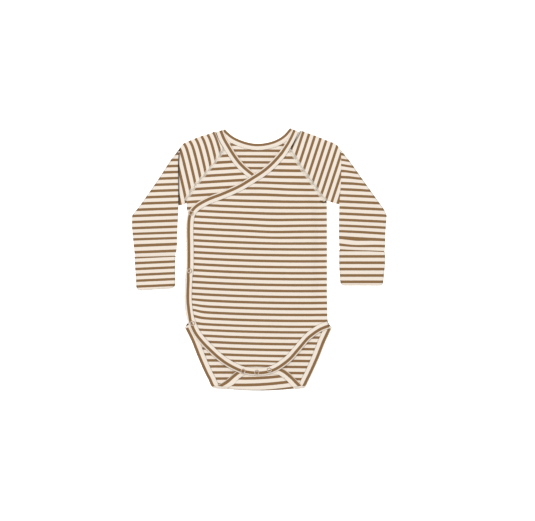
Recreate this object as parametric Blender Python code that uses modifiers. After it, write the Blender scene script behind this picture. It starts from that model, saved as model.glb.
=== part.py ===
"""Baby kimono bodysuit, laid flat on its back with its sleeves folded down in front.

The pieces are cut as a maker cuts them and laid on each other. A cloth wall is CLOTH thick,
and `level` counts the walls that lie below it, so level 2 is the third wall from the table.
X runs across the garment, the wearer's left at +X, Y runs from crotch to neck, and Z is up.
"""

import math

import bpy
import numpy as np
from mathutils.geometry import delaunay_2d_cdt

GARMENT = "Baby kimono bodysuit"
MM = 0.001
CLOTH = 1.0
GAP = 0.3
LAYER = CLOTH + GAP
SEAM_GAP = 0.8

BINDING_REACH = 9.4
BINDING_BEND = 1.6
BINDING_TURN = (0, 60, 120, 180)
EDGE_STRIP = 11.5
EDGE_STEP = 10.0
FILL_STEP = 19.0
SLOPE_LENGTH = 14.0

# The back is cut in one with the crotch flap. Below `start` the cloth turns up round a half
# circle, then runs up over itself and settles; the whole crotch bows up towards the legs.
CROTCH_FOLD = {"start": -201.6, "steps": 4, "levels": 3}
CROTCH_BOW = {"rise": 4.6, "half_width": 66.0, "fades_over": 60.0}
FLAP_SETTLES = {"start": 3.0, "length": 13.0, "levels": 2.0}
FLAP_CORNER_LENGTH = 8.0
FOLD_RADIUS = CROTCH_FOLD["levels"] * LAYER / 2
FOLD_LENGTH = math.pi * FOLD_RADIUS

SLEEVE_COLUMNS = 5
SLEEVE_RINGS = {"upper": 5, "fold": 4, "lower": 8}
SLEEVE_SETTLES = {"from": 66.0, "to": 38.0}
MITTEN_RINGS = 5
MITTEN_REACH = 2.0

SNAP_RADIUS = 4.0
SNAP_STEPS = 16
SNAP_PROFILE = [
    # share of the radius, height: the stud's tip, the well, the rounded ring, and the flat back
    (0.0, 0.75), (0.2, 0.7), (0.28, 0.4), (0.5, 0.4), (0.6, 0.95), (0.85, 0.95), (1.0, 0.5), (1.0, 0.0),
    (0.0, 0.0),
]

# Every edge below is a smooth curve through its rows: x and y in millimetres, and the level.
NECK_BACK = [
    (-54.8, 200.6, 1), (-50.8, 196.0, 1), (-40.8, 188.2, 1), (-29.1, 182.7, 1), (-15.8, 178.7, 1),
    (-3.1, 177.3, 1), (10.0, 178.4, 1), (25.1, 182.7, 1), (38.2, 190.4, 1), (49.0, 202.2, 1),
]
BACK_NECK_ENDS = {"right": 2, "left": 8}

RAGLAN_RIGHT = [
    # x, y, level, from the wrap binding down to the underarm
    (-54.2, 169.2, 3.8), (-61.5, 160.2, 3.2), (-68.2, 151.6, 2.5), (-76.0, 142.0, 1.8),
    (-84.6, 131.4, 1.3), (-93.4, 120.9, 1), (-101.0, 111.2, 1), (-107.6, 101.3, 1), (-113.4, 91.0, 1),
]
RAGLAN_LEFT = [
    (47.4, 169.2, 4.5), (55.7, 158.7, 4.4), (61.5, 148.5, 3.9), (68.3, 137.8, 3.0),
    (76.2, 127.6, 2.2), (83.0, 117.8, 1.7), (89.8, 107.8, 1.3), (96.6, 98.6, 1), (103.0, 91.8, 1),
]
RAGLAN_BACK_RIGHT = [(-66.0, 152.0, 0), (-86.0, 124.0, 0), (-101.0, 104.0, 0)]
RAGLAN_BACK_LEFT = [(60.0, 155.0, 0), (78.0, 128.0, 0), (92.0, 108.0, 0)]
RAGLAN_BACK_TOPS = {"right": (-47.0, 179.5, 1), "left": (43.4, 181.6, 1)}
SIDE_RIGHT = [
    # x, y, level of the back panel
    (-113.2, 86.2, 0), (-112.0, 78.0, 0), (-110.6, 66.0, 0), (-110.6, 30.0, 0),
    (-110.6, -60.0, 0), (-110.0, -82.0, 0), (-110.2, -95.0, 1), (-114.5, -104.5, 1),
]
SIDE_LEFT = [
    (104.6, 90.4, 0), (104.9, 30.0, 0), (104.9, -60.0, 0), (105.0, -82.0, 0), (105.2, -94.0, 1),
    (111.0, -105.0, 1),
]

# Bound edge of the back, as cut: down the right leg, round the crotch flap, up the left leg.
LEG_EDGE_BACK = [
    (-114.5, -104.5, 1), (-107.2, -119.0, 1), (-102.1, -130.3, 1), (-92.9, -154.0, 1),
    (-83.0, -179.0, 1), (-77.3, -191.2, 1), (-72.8, -201.6, 1), (-66.6, -206.6, 1),
    (-60.7, -210.7, 1), (-51.5, -217.2, 1), (-42.0, -226.0, 1), (-37.1, -230.4, 1),
    (-30.0, -236.0, 1), (-22.0, -239.6, 1), (-11.0, -240.6, 1), (12.0, -240.6, 1),
    (24.0, -240.0, 1), (33.0, -237.8, 1), (41.7, -232.2, 1), (51.2, -223.3, 1), (59.7, -213.8, 1),
    (65.0, -208.0, 1), (70.5, -201.6, 1), (74.4, -193.3, 1), (79.9, -181.2, 1), (90.1, -156.0, 1),
    (99.2, -132.3, 1), (104.2, -121.0, 1), (109.3, -109.8, 1), (111.0, -105.0, 1),
]

# Wrap edge of the outer front, from the neck round the side and both legs to the left hip.
WRAP_COLLAR = [(52.8, 200.6, 4), (47.4, 188.7, 4.1), (41.9, 178.7, 4.3)]
WRAP_OUTER = [
    (37.1, 171.6, 4.4), (31.4, 163.7, 4.6), (18.6, 149.5, 5), (5.0, 137.8, 5), (-10.5, 127.6, 5),
    (-31.8, 114.6, 5), (-55.8, 103.8, 4.6), (-80.8, 94.0, 4), (-98.2, 84.1, 3.9), (-107.3, 73.9, 3.8),
    (-110.8, 62.6, 3.4), (-111.8, 45.0, 3), (-111.4, 20.0, 3), (-111.5, -13.7, 3),
    (-113.4, -28.6, 3), (-114.4, -60.0, 3), (-113.2, -76.0, 3.3), (-111.4, -88.0, 3.7),
    (-107.6, -100.3, 4), (-101.3, -114.6, 4), (-92.0, -127.3, 4), (-79.6, -140.3, 4),
    (-63.8, -154.7, 4.3), (-48.1, -165.6, 4.7), (-29.8, -174.4, 5), (-16.0, -177.3, 5),
    (-3.5, -178.2, 5), (9.2, -177.4, 5), (21.5, -174.1, 5), (33.4, -167.8, 4.7), (48.0, -156.6, 4.3),
    (59.3, -144.1, 4), (70.0, -131.4, 4), (77.1, -123.5, 4), (86.6, -116.0, 4), (96.7, -109.8, 4),
    (108.2, -105.4, 4),
]
SIDE_OUTER = [(105.6, -95.0, 4), (105.2, -80.0, 3.4), (104.9, -60.0, 1.6), (104.9, -40.0, 1),
              (104.9, 20.0, 1), (104.6, 86.0, 1)]
OUTER_LEVEL = 4

# Wrap edge of the under front, which turns down short of the left side, hidden by the outer one.
UNDER_COLLAR = [(-57.8, 199.8, 4), (-53.4, 188.5, 4)]
WRAP_UNDER = [
    (-48.3, 179.2, 3.9), (-37.5, 161.7, 3.1), (-26.2, 147.3, 2.2), (-9.9, 133.4, 2), (10.0, 120.5, 2),
    (32.0, 108.5, 2), (46.0, 99.0, 2), (54.5, 88.0, 2), (58.0, 74.0, 2), (58.0, -78.0, 2),
]
HEM_UNDER = [(20.0, -79.5, 1.8), (-60.0, -80.0, 1.2), (-110.6, -82.0, 1)]
SIDE_UNDER = [(-110.6, -40.0, 1), (-110.6, 30.0, 1), (-110.6, 62.0, 1), (-112.6, 78.0, 1)]
UNDER_LEVEL = 2

# Each sleeve is a flattened tube. Its edges are curves in x and y, as it lies folded.
SLEEVES = {
    "right": {
        "shoulder": [(-67.9, 197.2), (-76.0, 193.4), (-89.7, 189.4), (-107.0, 183.0), (-119.0, 177.6),
                     (-125.6, 167.0)],
        "underarm": [(-114.6, 86.2), (-150.0, 79.6), (-196.6, 69.1)],
        "front": [(-68.1, 196.6, 4), (-62.9, 185.0, 4), (-58.2, 177.2, 3.95), (-56.0, 171.6, 3.85)]
        + RAGLAN_RIGHT[1:],
        "back": [(-62.5, 193.5, 1), (-55.5, 185.5, 1), (-51.0, 176.0, 1)] + RAGLAN_BACK_RIGHT
        + [(-113.0, 88.0, 0)],
        "inner": [(-125.6, 167.0), (-126.9, 150.0), (-126.9, 125.0), (-126.7, 79.0), (-128.4, 42.0),
                  (-129.0, 20.0), (-130.0, 12.0), (-132.3, 4.5), (-132.9, -10.0), (-132.8, -43.0)],
        "outer": [(-196.6, 69.1), (-197.0, 50.0), (-195.6, 34.0), (-194.2, 20.0), (-193.1, 10.5),
                  (-191.6, 3.0), (-190.9, -10.0), (-189.6, -30.0), (-188.7, -46.7)],
        "fold": [(-125.6, 167.0), (-137.3, 154.2), (-157.1, 123.8), (-183.1, 86.5), (-196.6, 69.1)],
        "opening": (5.1, 3.4),
    },
    "left": {
        "shoulder": [(62.9, 198.6), (72.0, 194.8), (85.6, 190.0), (104.1, 183.1), (119.5, 177.0),
                     (127.4, 167.6)],
        "underarm": [(105.0, 91.4), (123.6, 86.0), (197.1, 68.8)],
        "front": [(63.1, 197.7, 4), (56.2, 184.6, 4.25), (50.6, 174.4, 4.4), (47.9, 169.9, 4.5)]
        + RAGLAN_LEFT[1:],
        "back": [(57.5, 195.0, 1), (50.5, 187.0, 1), (46.5, 178.5, 1)] + RAGLAN_BACK_LEFT
        + [(104.0, 93.0, 0)],
        "inner": [(127.4, 167.6), (127.5, 125.0), (125.0, 82.0), (124.4, 42.0), (125.0, 22.0),
                  (126.2, 13.0), (126.2, -7.0), (127.2, -26.0), (128.3, -38.7)],
        "outer": [(197.1, 68.8), (196.0, 54.0), (195.0, 38.0), (194.4, 18.0), (193.1, 9.5),
                  (192.8, -7.0), (191.0, -27.0), (189.6, -38.8)],
        "fold": [(127.4, 167.6), (139.3, 153.6), (160.3, 123.8), (180.2, 95.9), (193.4, 77.2),
                 (197.1, 68.8)],
        "opening": (13.8, 10.9),
    },
}
SNAPS = {
    # node: x, y, level of the cloth wall it is pressed on
    "snap_side_1": (-105.6, 71.2, 4.8),
    "snap_side_2": (-107.9, -18.3, 4.0),
    "snap_side_3": (-103.4, -99.4, 5.0),
    "snap_crotch_1": (-25.2, -173.3, 6.0),
    "snap_crotch_2": (-4.0, -175.2, 6.0),
    "snap_crotch_3": (15.4, -171.5, 6.0),
}

JERSEY = {"colour": (0.80, 0.68, 0.50, 1), "roughness": 0.95, "metallic": 0.0}
BINDING = {"colour": (0.62, 0.45, 0.27, 1), "roughness": 0.95, "metallic": 0.0}
ENAMEL = {"colour": (0.86, 0.76, 0.66, 1), "roughness": 0.35, "metallic": 0.2}


def height(level):
    """Height of the middle of a wall that lies on `level` other walls."""
    return level * LAYER + CLOTH / 2


def smoothstep(t):
    """0 below 0, 1 above 1, and a soft S between them."""
    t = np.clip(t, 0, 1)
    return t * t * (3 - 2 * t)


def lengths(path):
    """Distance of each point of a path from its start, in x and y."""
    return np.r_[0, np.cumsum(np.linalg.norm(np.diff(path[:, :2], axis=0), axis=1))]


def at_lengths(path, stations):
    """The points of a path at the given distances from its start."""
    return np.stack([np.interp(stations, lengths(path), column) for column in path.T], axis=1)


def curve(rows, step=None, count=None):
    """Points on a Catmull-Rom curve through the rows, `step` apart or `count` spans in all."""
    rows = np.array(rows, float)
    padded = np.vstack([2 * rows[0] - rows[1], rows, 2 * rows[-1] - rows[-2]])
    pieces = []
    for a, b, c, d in zip(padded, padded[1:], padded[2:], padded[3:]):
        spans = max(1, round(np.linalg.norm((c - b)[:2]) / (step or 1)))
        t = np.arange(spans)[:, None] / spans
        bend = (c - a) * t + (2 * a - 5 * b + 4 * c - d) * t**2 + (3 * b - a - 3 * c + d) * t**3
        pieces.append(b + bend / 2)
    points = np.vstack(pieces + [rows[-1:]])
    points[:, 2] = np.clip(points[:, 2], rows[:, 2].min(), rows[:, 2].max())
    if count is None:
        return points
    along = lengths(points)
    return at_lengths(points, np.linspace(0, along[-1], count + 1))


def inward_normals(path, side):
    """Unit normals of an open path in x and y; side 1 is to the left of travel, -1 to the right."""
    tangents = np.gradient(path[:, :2], axis=0)
    tangents /= np.linalg.norm(tangents, axis=1)[:, None]
    return side * np.stack([-tangents[:, 1], tangents[:, 0]], axis=1)


def inside(points, loop):
    """Whether each point lies inside a closed loop, by counting the edges to its right."""
    x, y = points[:, :1], points[:, 1:2]
    x1, y1 = loop[:, 0], loop[:, 1]
    x2, y2 = np.roll(x1, -1), np.roll(y1, -1)
    crosses = (y1 > y) != (y2 > y)
    rise = np.where(y2 == y1, 1, y2 - y1)
    return (crosses & (x < x1 + (y - y1) / rise * (x2 - x1))).sum(axis=1) % 2 == 1


def nearest_edge(points, loop):
    """Distance from each point to the closed loop, and the loop's level there."""
    start, end = loop, np.roll(loop, -1, axis=0)
    span = (end - start)[None, :, :2]
    t = ((points[:, None, :2] - start[None, :, :2]) * span).sum(axis=2) / (span**2).sum(axis=2)
    t = np.clip(t, 0, 1)
    foot = start[None] + t[:, :, None] * (end - start)[None]
    gaps = np.linalg.norm(points[:, None, :2] - foot[:, :, :2], axis=2)
    best = gaps.argmin(axis=1)
    rows = np.arange(len(points))
    return gaps[rows, best], foot[rows, best, 2]


def laid(x, y, level, lift=0.0):
    """Place of a cloth point: flat on the table, `lift` above the middle of its wall."""
    return np.stack([x, y, height(level) + lift + 0 * x], axis=-1)


def folded(x, y, level, lift=0.0):
    """Place of a point of the back, as cut: past the crotch fold it turns up over the panel."""
    past = CROTCH_FOLD["start"] - y
    angle = np.clip(past / FOLD_RADIUS, 0, math.pi)
    before = np.clip(past, None, 0)
    beyond = np.clip(past - FOLD_LENGTH, 0, None)
    settled = np.clip((beyond - FLAP_SETTLES["start"]) / FLAP_SETTLES["length"], 0, 1)
    radius = FOLD_RADIUS - lift
    rise = CROTCH_BOW["rise"] * np.clip(np.abs(x) / CROTCH_BOW["half_width"], 0, 1) ** 2
    bow = rise * (1 - smoothstep(-before / CROTCH_BOW["fades_over"]))
    return np.stack([
        x + 0 * past,
        CROTCH_FOLD["start"] + bow - before - radius * np.sin(angle) + beyond,
        height(level) + FOLD_RADIUS - radius * np.cos(angle) - settled * FLAP_SETTLES["levels"] * LAYER,
    ], axis=-1)


def material(name, look):
    made = bpy.data.materials.new(name)
    made.use_nodes = True
    shader = made.node_tree.nodes["Principled BSDF"]
    shader.inputs["Base Color"].default_value = look["colour"]
    shader.inputs["Roughness"].default_value = look["roughness"]
    shader.inputs["Metallic"].default_value = look["metallic"]
    return made


def wall(name, points, faces, look):
    """A cloth wall: the open surface through its middle, given CLOTH of thickness."""
    mesh = bpy.data.meshes.new(name)
    mesh.from_pydata((np.asarray(points) * MM).tolist(), [], [tuple(map(int, f)) for f in faces])
    mesh.validate()
    mesh.materials.append(material(name, look))
    piece = bpy.data.objects.new(name, mesh)
    bpy.data.collections[GARMENT].objects.link(piece)
    shell = piece.modifiers.new("Cloth", "SOLIDIFY")
    shell.thickness = CLOTH * MM
    shell.offset = 0
    return piece


def grid_faces(rows, columns, closed=False):
    """Quads between neighbouring points of a grid, whose rows may close on themselves."""
    row, column = np.mgrid[0:rows - 1, 0:columns - (0 if closed else 1)]
    after = (column + 1) % columns
    corners = [row * columns + column, row * columns + after,
               (row + 1) * columns + after, (row + 1) * columns + column]
    return np.stack(corners, axis=-1).reshape(-1, 4)


def panel(name, loop, level, place=laid, directions=None, creases=()):
    """A cut piece: a closed loop of edge points filled with triangles and laid in place.

    A strip along the edge keeps the edge's level, and the cloth slopes to its own beyond it.
    Each crease is a pair of edge points between which the cloth bends in a straight line."""
    closed = np.vstack([loop[-1:], loop, loop[:1]])
    normals = inward_normals(closed, 1)[1:-1]
    if directions is None:
        directions = normals
    reach = EDGE_STRIP / (directions * normals).sum(axis=1)
    strip = np.c_[loop[:, :2] + directions * reach[:, None], loop[:, 2]]
    keep = inside(strip, loop) & (nearest_edge(strip, loop)[0] > 0.8 * EDGE_STRIP)
    if creases:
        keep[creases[-1][0]:creases[-1][1]] = False
        keep[np.ravel(creases)] = True
    numbers = np.where(keep, len(loop) + np.cumsum(keep) - 1, -1)
    points = [loop, strip[keep]]
    count = len(loop) + keep.sum()
    after = np.roll(np.arange(len(loop)), -1)
    edges = [(i, after[i]) for i in range(len(loop))]
    edges += [(i, numbers[i]) for i in range(len(loop)) if keep[i]]
    edges += [(numbers[i], numbers[after[i]]) for i in range(len(loop)) if keep[i] and keep[after[i]]]
    for i, j in creases:
        spans = round(np.linalg.norm(strip[j] - strip[i]) / FILL_STEP)
        line = np.linspace(strip[i], strip[j], spans + 1)[1:-1]
        chain = [numbers[i], *range(count, count + len(line)), numbers[j]]
        edges += list(zip(chain, chain[1:]))
        points.append(line)
        count += len(line)

    low, high = loop[:, :2].min(axis=0), loop[:, :2].max(axis=0)
    fill = np.stack(np.meshgrid(*(np.arange(a, b, FILL_STEP) for a, b in zip(low, high))), axis=-1)
    fill[1::2, :, 0] += FILL_STEP / 2
    fill = fill.reshape(-1, 2)
    if creases:
        fill = fill[fill[:, 1] > strip[creases[0][0], 1] + 0.5 * FILL_STEP]
    distance, edge_level = nearest_edge(fill, loop)
    free = inside(fill, loop) & (distance > EDGE_STRIP + 0.5 * FILL_STEP)
    slope = smoothstep((distance - EDGE_STRIP) / SLOPE_LENGTH)
    points.append(np.c_[fill, edge_level + (level - edge_level) * slope][free])

    points = np.vstack(points)
    edges = [(int(i), int(j)) for i, j in edges]
    made = delaunay_2d_cdt([tuple(p) for p in points[:, :2]], edges, [list(range(len(loop)))], 1, 1e-5)
    chosen = points[[group[0] for group in made[3]]]
    return wall(name, place(*chosen.T), made[2], JERSEY)


def binding(name, path, side, place=laid, directions=None):
    """A strip folded round a panel's edge: a U whose two legs lie on the panel's faces.

    Each section runs from one leg's end, round the edge, to the other leg's end."""
    normals = inward_normals(path, side)
    if directions is None:
        directions = normals
    reach = BINDING_REACH / (directions * normals).sum(axis=1)
    turn = np.radians(BINDING_TURN)
    out = [-reach] + [BINDING_BEND * math.sin(a) + 0 * reach for a in turn] + [-reach]
    lifts = [LAYER] + [LAYER * math.cos(a) for a in turn] + [-LAYER]
    sections = []
    for distance, lift in zip(out, lifts):
        at = path[:, :2] - directions * distance[:, None]
        sections.append(place(at[:, 0], at[:, 1], path[:, 2], lift))
    points = np.stack(sections, axis=1)
    return wall(name, points.reshape(-1, 3), grid_faces(len(path), len(out)), BINDING)


def leg_edge_back():
    """The back's bound edge, with a point wherever it crosses a line that the flap bends on.

    Returns the path, its sections' directions, and the pairs of points that the bends join."""
    fine = curve(LEG_EDGE_BACK, 1.0)
    along = lengths(fine)
    bottom = int(np.argmin(fine[:, 1] + 0.001 * np.abs(fine[:, 0])))
    steps = np.arange(CROTCH_FOLD["steps"] + 1) / CROTCH_FOLD["steps"]
    settles = FOLD_LENGTH + FLAP_SETTLES["start"]
    bends = np.r_[steps * FOLD_LENGTH, settles, settles + FLAP_SETTLES["length"]]
    past = CROTCH_FOLD["start"] - fine[:, 1]
    down = np.interp(bends, past[:bottom], along[:bottom])
    up = np.interp(bends, past[bottom:][::-1], along[bottom:][::-1])
    marks = np.r_[0, down, up[::-1], along[-1]]
    spans = [max(1, round((b - a) / EDGE_STEP)) for a, b in zip(marks, marks[1:])]
    stations = [np.linspace(a, b, n, endpoint=False) for a, b, n in zip(marks, marks[1:], spans)]
    path = at_lengths(fine, np.r_[np.concatenate(stations), along[-1]])
    crossings = np.r_[0, np.cumsum(spans)][1:-1]
    pairs = list(zip(crossings[:len(bends)], crossings[::-1]))

    normals = inward_normals(path, 1)
    past = CROTCH_FOLD["start"] - path[:, 1]
    level_with_fold = np.c_[np.sign(-path[:, 0]), 0 * past]
    turned = smoothstep((past - bends[-1]) / FLAP_CORNER_LENGTH)[:, None]
    directions = np.where(past[:, None] > -0.01, (1 - turned) * level_with_fold + turned * normals, normals)
    directions /= np.linalg.norm(directions, axis=1)[:, None]
    return path, directions, pairs


def make_back():
    """The back panel down to the crotch, with its flap folded up to the front, and its bindings."""
    legs, leg_directions, bends = leg_edge_back()
    start, end = BACK_NECK_ENDS["right"], BACK_NECK_ENDS["left"]
    neck = curve(NECK_BACK[start:end + 1], EDGE_STEP)
    right_top, left_top = RAGLAN_BACK_TOPS["right"], RAGLAN_BACK_TOPS["left"]
    right_seam = curve([NECK_BACK[start], right_top] + RAGLAN_BACK_RIGHT + [SIDE_RIGHT[0]], EDGE_STEP)
    left_seam = curve([SIDE_LEFT[0]] + RAGLAN_BACK_LEFT[::-1] + [left_top, NECK_BACK[end]], EDGE_STEP)
    side_right, side_left = curve(SIDE_RIGHT, EDGE_STEP), curve(SIDE_LEFT, EDGE_STEP)[::-1]
    rest = np.vstack([side_left[1:-1], left_seam[:-1], neck[:0:-1], right_seam[:-1], side_right[:-1]])
    loop = np.vstack([legs, rest])
    directions = inward_normals(np.vstack([loop[-1:], loop, loop[:1]]), 1)[1:-1]
    directions[1:len(legs) - 1] = leg_directions[1:-1]
    panel("back", loop, 0, folded, directions, bends)
    binding("binding_leg_back", legs, 1, folded, leg_directions)
    binding("binding_neck_back", curve(NECK_BACK, EDGE_STEP), -1)


def make_fronts():
    """The under front and the outer front that wraps over it, each with its bound edge."""
    wrap = curve(WRAP_UNDER, EDGE_STEP)
    seams = curve([WRAP_UNDER[-1]] + HEM_UNDER, EDGE_STEP)
    side = curve([HEM_UNDER[-1]] + SIDE_UNDER + [RAGLAN_RIGHT[-1]], EDGE_STEP)
    raglan = curve(RAGLAN_RIGHT[::-1], EDGE_STEP)
    panel("front_under", np.vstack([wrap, seams[1:], side[1:], raglan[1:-1]])[::-1], UNDER_LEVEL)
    binding("binding_wrap_under", curve(UNDER_COLLAR + WRAP_UNDER, EDGE_STEP), -1)

    wrap = curve(WRAP_OUTER, EDGE_STEP)
    side = curve([WRAP_OUTER[-1]] + SIDE_OUTER + [RAGLAN_LEFT[-1]], EDGE_STEP)
    raglan = curve(RAGLAN_LEFT[::-1], EDGE_STEP)
    panel("front_outer", np.vstack([wrap, side[1:], raglan[1:]]), OUTER_LEVEL)
    binding("binding_wrap_outer", curve(WRAP_COLLAR + WRAP_OUTER, EDGE_STEP), 1)


def patch(left, right, start, end, steps):
    """Coons patch: rows run from `start` to `end`, each between the curves `left` and `right`."""
    v = np.linspace(0, 1, steps + 1)[:, None, None]
    w = np.linspace(0, 1, len(start))[None, :, None]
    lines = (1 - v) * start[None] + v * end[None] + (1 - w) * left[:, None] + w * right[:, None]
    corners = ((1 - v) * ((1 - w) * start[0] + w * start[-1]) + v * ((1 - w) * end[0] + w * end[-1]))
    return lines - corners


def make_sleeve(which):
    """A flattened tube from the armhole, folded over itself on a slant, down to the hand.

    Its rings go round the front wall and back along the back wall, with a rounded edge between."""
    shape = SLEEVES[which]
    n = SLEEVE_COLUMNS
    outward = -1 if which == "right" else 1
    upper, turn_steps, lower = (SLEEVE_RINGS[key] for key in ("upper", "fold", "lower"))
    fold_radius = 3 * LAYER / 2
    shift = np.array([outward * SEAM_GAP, 0, 0])
    front0 = curve(shape["front"], 3.0, n) + shift
    back0 = curve(shape["back"], 3.0, n) + shift
    tip, elbow = np.array(shape["shoulder"][-1]), np.array(shape["underarm"][-1])
    along = (elbow - tip) / np.linalg.norm(elbow - tip)
    away = np.array([along[1], -along[0]])
    away = away * np.sign(away[0]) * outward
    w = np.linspace(0, 1, n + 1)[:, None]
    fold_line = curve([(*p, 0) for p in shape["fold"]], 3.0, n)[:, :2] - away * (fold_radius + CLOTH / 2)

    def flat(points, level):
        return np.c_[points, np.full(len(points), float(level))]

    shoulder = curve([(*p, 0) for p in shape["shoulder"]], 3.0, upper)[:, :2]
    underarm = curve([(*p, 0) for p in shape["underarm"]], 3.0, upper)[:, :2]
    walls = []
    for start, level in ((front0, 1), (back0, 0)):
        left = np.c_[shoulder, np.linspace(start[0, 2], level, upper + 1)]
        right = np.c_[underarm, np.linspace(start[-1, 2], level, upper + 1)]
        left[0], right[0] = start[0], start[-1]
        end = flat(fold_line, level)
        left[-1], right[-1] = end[0], end[-1]
        walls.append(patch(left, right, start, end, upper))
    front, back = (np.stack([laid(*row.T) for row in grid]) for grid in walls)

    centre_z = height(0) + fold_radius
    turns = []
    for angle in np.linspace(0, math.pi, turn_steps + 1)[1:-1]:
        ring = []
        for radius in (fold_radius - LAYER, fold_radius):
            place = fold_line + away * radius * math.sin(angle)
            ring.append(np.c_[place, np.full(n + 1, centre_z - radius * math.cos(angle))])
        turns.append(ring)
    front = np.vstack([front, [ring[0] for ring in turns]])
    back = np.vstack([back, [ring[1] for ring in turns]])

    inner = curve([(*p, 0) for p in shape["inner"]], 3.0, lower)[:, :2]
    outer = curve([(*p, 0) for p in shape["outer"]], 3.0, lower)[:, :2]
    inner[0], outer[0] = fold_line[0], fold_line[-1]
    end = inner[-1] + w * (outer[-1] - inner[-1])
    layout = patch(inner, outer, fold_line, end, lower)
    settle = smoothstep((layout[..., 1] - SLEEVE_SETTLES["to"])
                        / (SLEEVE_SETTLES["from"] - SLEEVE_SETTLES["to"]))
    low = height(2 * settle)
    front = np.vstack([front, np.concatenate([layout, low[..., None]], axis=2)])
    back = np.vstack([back, np.concatenate([layout, (low + LAYER)[..., None]], axis=2)])

    middle, half = (front + back) / 2, (front - back) / 2
    rim = []
    for column, neighbour in ((-1, -2), (0, 1)):
        outwards = middle[:, column] - middle[:, neighbour]
        outwards /= np.linalg.norm(outwards, axis=1)[:, None]
        size = np.linalg.norm(half[:, column], axis=1)[:, None]
        rim.append(middle[:, column] + outwards * np.minimum(size, LAYER))
    ring = np.concatenate([front, rim[0][:, None], back[:, ::-1], rim[1][:, None]], axis=1)
    rows, columns = ring.shape[:2]
    wall(f"sleeve_{which}", ring.reshape(-1, 3), grid_faces(rows, columns, closed=True), JERSEY)
    make_mitten(which, layout, shape["opening"])


def below(edge, top):
    """The part of a sleeve's edge from the height `top` down to its end, at even heights."""
    heights = np.linspace(top, edge[-1, 1], MITTEN_RINGS)
    return np.stack([np.interp(-heights, -edge[:, 1], edge[:, 0]), heights], axis=1)


def make_mitten(which, layout, opening):
    """The fold-over mitten cuff: a shallow hood over the sleeve's end, open towards the elbow."""
    left, right = (below(layout[:, j], top) for j, top in zip((0, -1), opening))
    across = (right - left) / np.linalg.norm(right - left, axis=1)[:, None]
    along = (left[-1] - left[0]) / np.linalg.norm(left[-1] - left[0])
    reach = MITTEN_REACH
    top = height(2)
    w = np.linspace(0, 1, SLEEVE_COLUMNS + 1)[:, None]
    rings = []
    for a, b, c in zip(left, right, across):
        flat = a + w * (b - a)
        ring = [np.r_[a - c * reach, height(0) + GAP], np.r_[a - c * 0.9 * reach, top - LAYER / 2]]
        ring += [np.r_[p, top] for p in flat]
        ring += [np.r_[b + c * 0.9 * reach, top - LAYER / 2], np.r_[b + c * reach, height(0) + GAP]]
        rings.append(np.array(ring))
    for out, z in ((0.9 * reach, top - LAYER / 2), (reach, height(0) + GAP)):
        ring = rings[MITTEN_RINGS - 1].copy()
        ring[:, :2] += along * out
        ring[:, 2] = np.minimum(ring[:, 2], z)
        rings.append(ring)
    points = np.stack(rings)
    wall(f"mitten_{which}", points.reshape(-1, 3), grid_faces(*points.shape[:2]), JERSEY)


def make_snap(name, x, y, level):
    """A ring snap's cap, turned: a rounded ring with a shallow well and the stud's tip in it."""
    mesh = bpy.data.meshes.new(name)
    points = [(share * SNAP_RADIUS * MM, 0, z * MM) for share, z in SNAP_PROFILE]
    mesh.from_pydata(points, [(i, i + 1) for i in range(len(points) - 1)], [])
    mesh.materials.append(material(name, ENAMEL))
    piece = bpy.data.objects.new(name, mesh)
    bpy.data.collections[GARMENT].objects.link(piece)
    piece.location = (x * MM, y * MM, (height(level) + CLOTH / 2 + GAP) * MM)
    turned = piece.modifiers.new("Turned", "SCREW")
    turned.steps = turned.render_steps = SNAP_STEPS
    turned.use_merge_vertices = True
    turned.merge_threshold = 0.00001


for leftover in list(bpy.data.objects):
    bpy.data.objects.remove(leftover)
bpy.context.scene.collection.children.link(bpy.data.collections.new(GARMENT))
make_back()
make_fronts()
for which_side in SLEEVES:
    make_sleeve(which_side)
for node, row in SNAPS.items():
    make_snap(node, *row)
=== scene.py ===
import math

import bpy
import numpy as np
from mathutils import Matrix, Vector


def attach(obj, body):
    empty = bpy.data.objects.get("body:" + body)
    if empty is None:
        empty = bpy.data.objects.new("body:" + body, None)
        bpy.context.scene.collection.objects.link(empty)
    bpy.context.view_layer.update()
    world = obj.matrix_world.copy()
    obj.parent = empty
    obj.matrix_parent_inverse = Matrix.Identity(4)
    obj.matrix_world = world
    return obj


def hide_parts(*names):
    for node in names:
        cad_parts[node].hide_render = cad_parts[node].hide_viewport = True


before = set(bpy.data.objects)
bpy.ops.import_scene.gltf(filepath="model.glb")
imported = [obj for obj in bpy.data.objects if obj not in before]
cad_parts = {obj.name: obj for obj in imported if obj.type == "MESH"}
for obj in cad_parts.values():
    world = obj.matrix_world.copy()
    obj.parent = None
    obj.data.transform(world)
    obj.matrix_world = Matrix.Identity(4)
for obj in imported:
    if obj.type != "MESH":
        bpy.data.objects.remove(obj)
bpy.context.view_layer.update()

# Baby kimono bodysuit in striped cotton jersey, laid flat on its back with its sleeves folded
# down in front. Lengths are in millimetres until a shape becomes a mesh. X runs to the wearer's
# left, Y from crotch to neck, Z up. A "level" counts the cloth walls that lie below a wall.

# ---------------------------------------------------------------------------------------------
# The jersey. A fine cotton single jersey, knitted ivory with a brown stripe, and cut so that the
# stripes run across each piece. Its face shows rows of small V-shaped loops. Each piece's UV map
# is its own flat cloth in metres: U runs along the stripes, and V across them.

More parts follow.
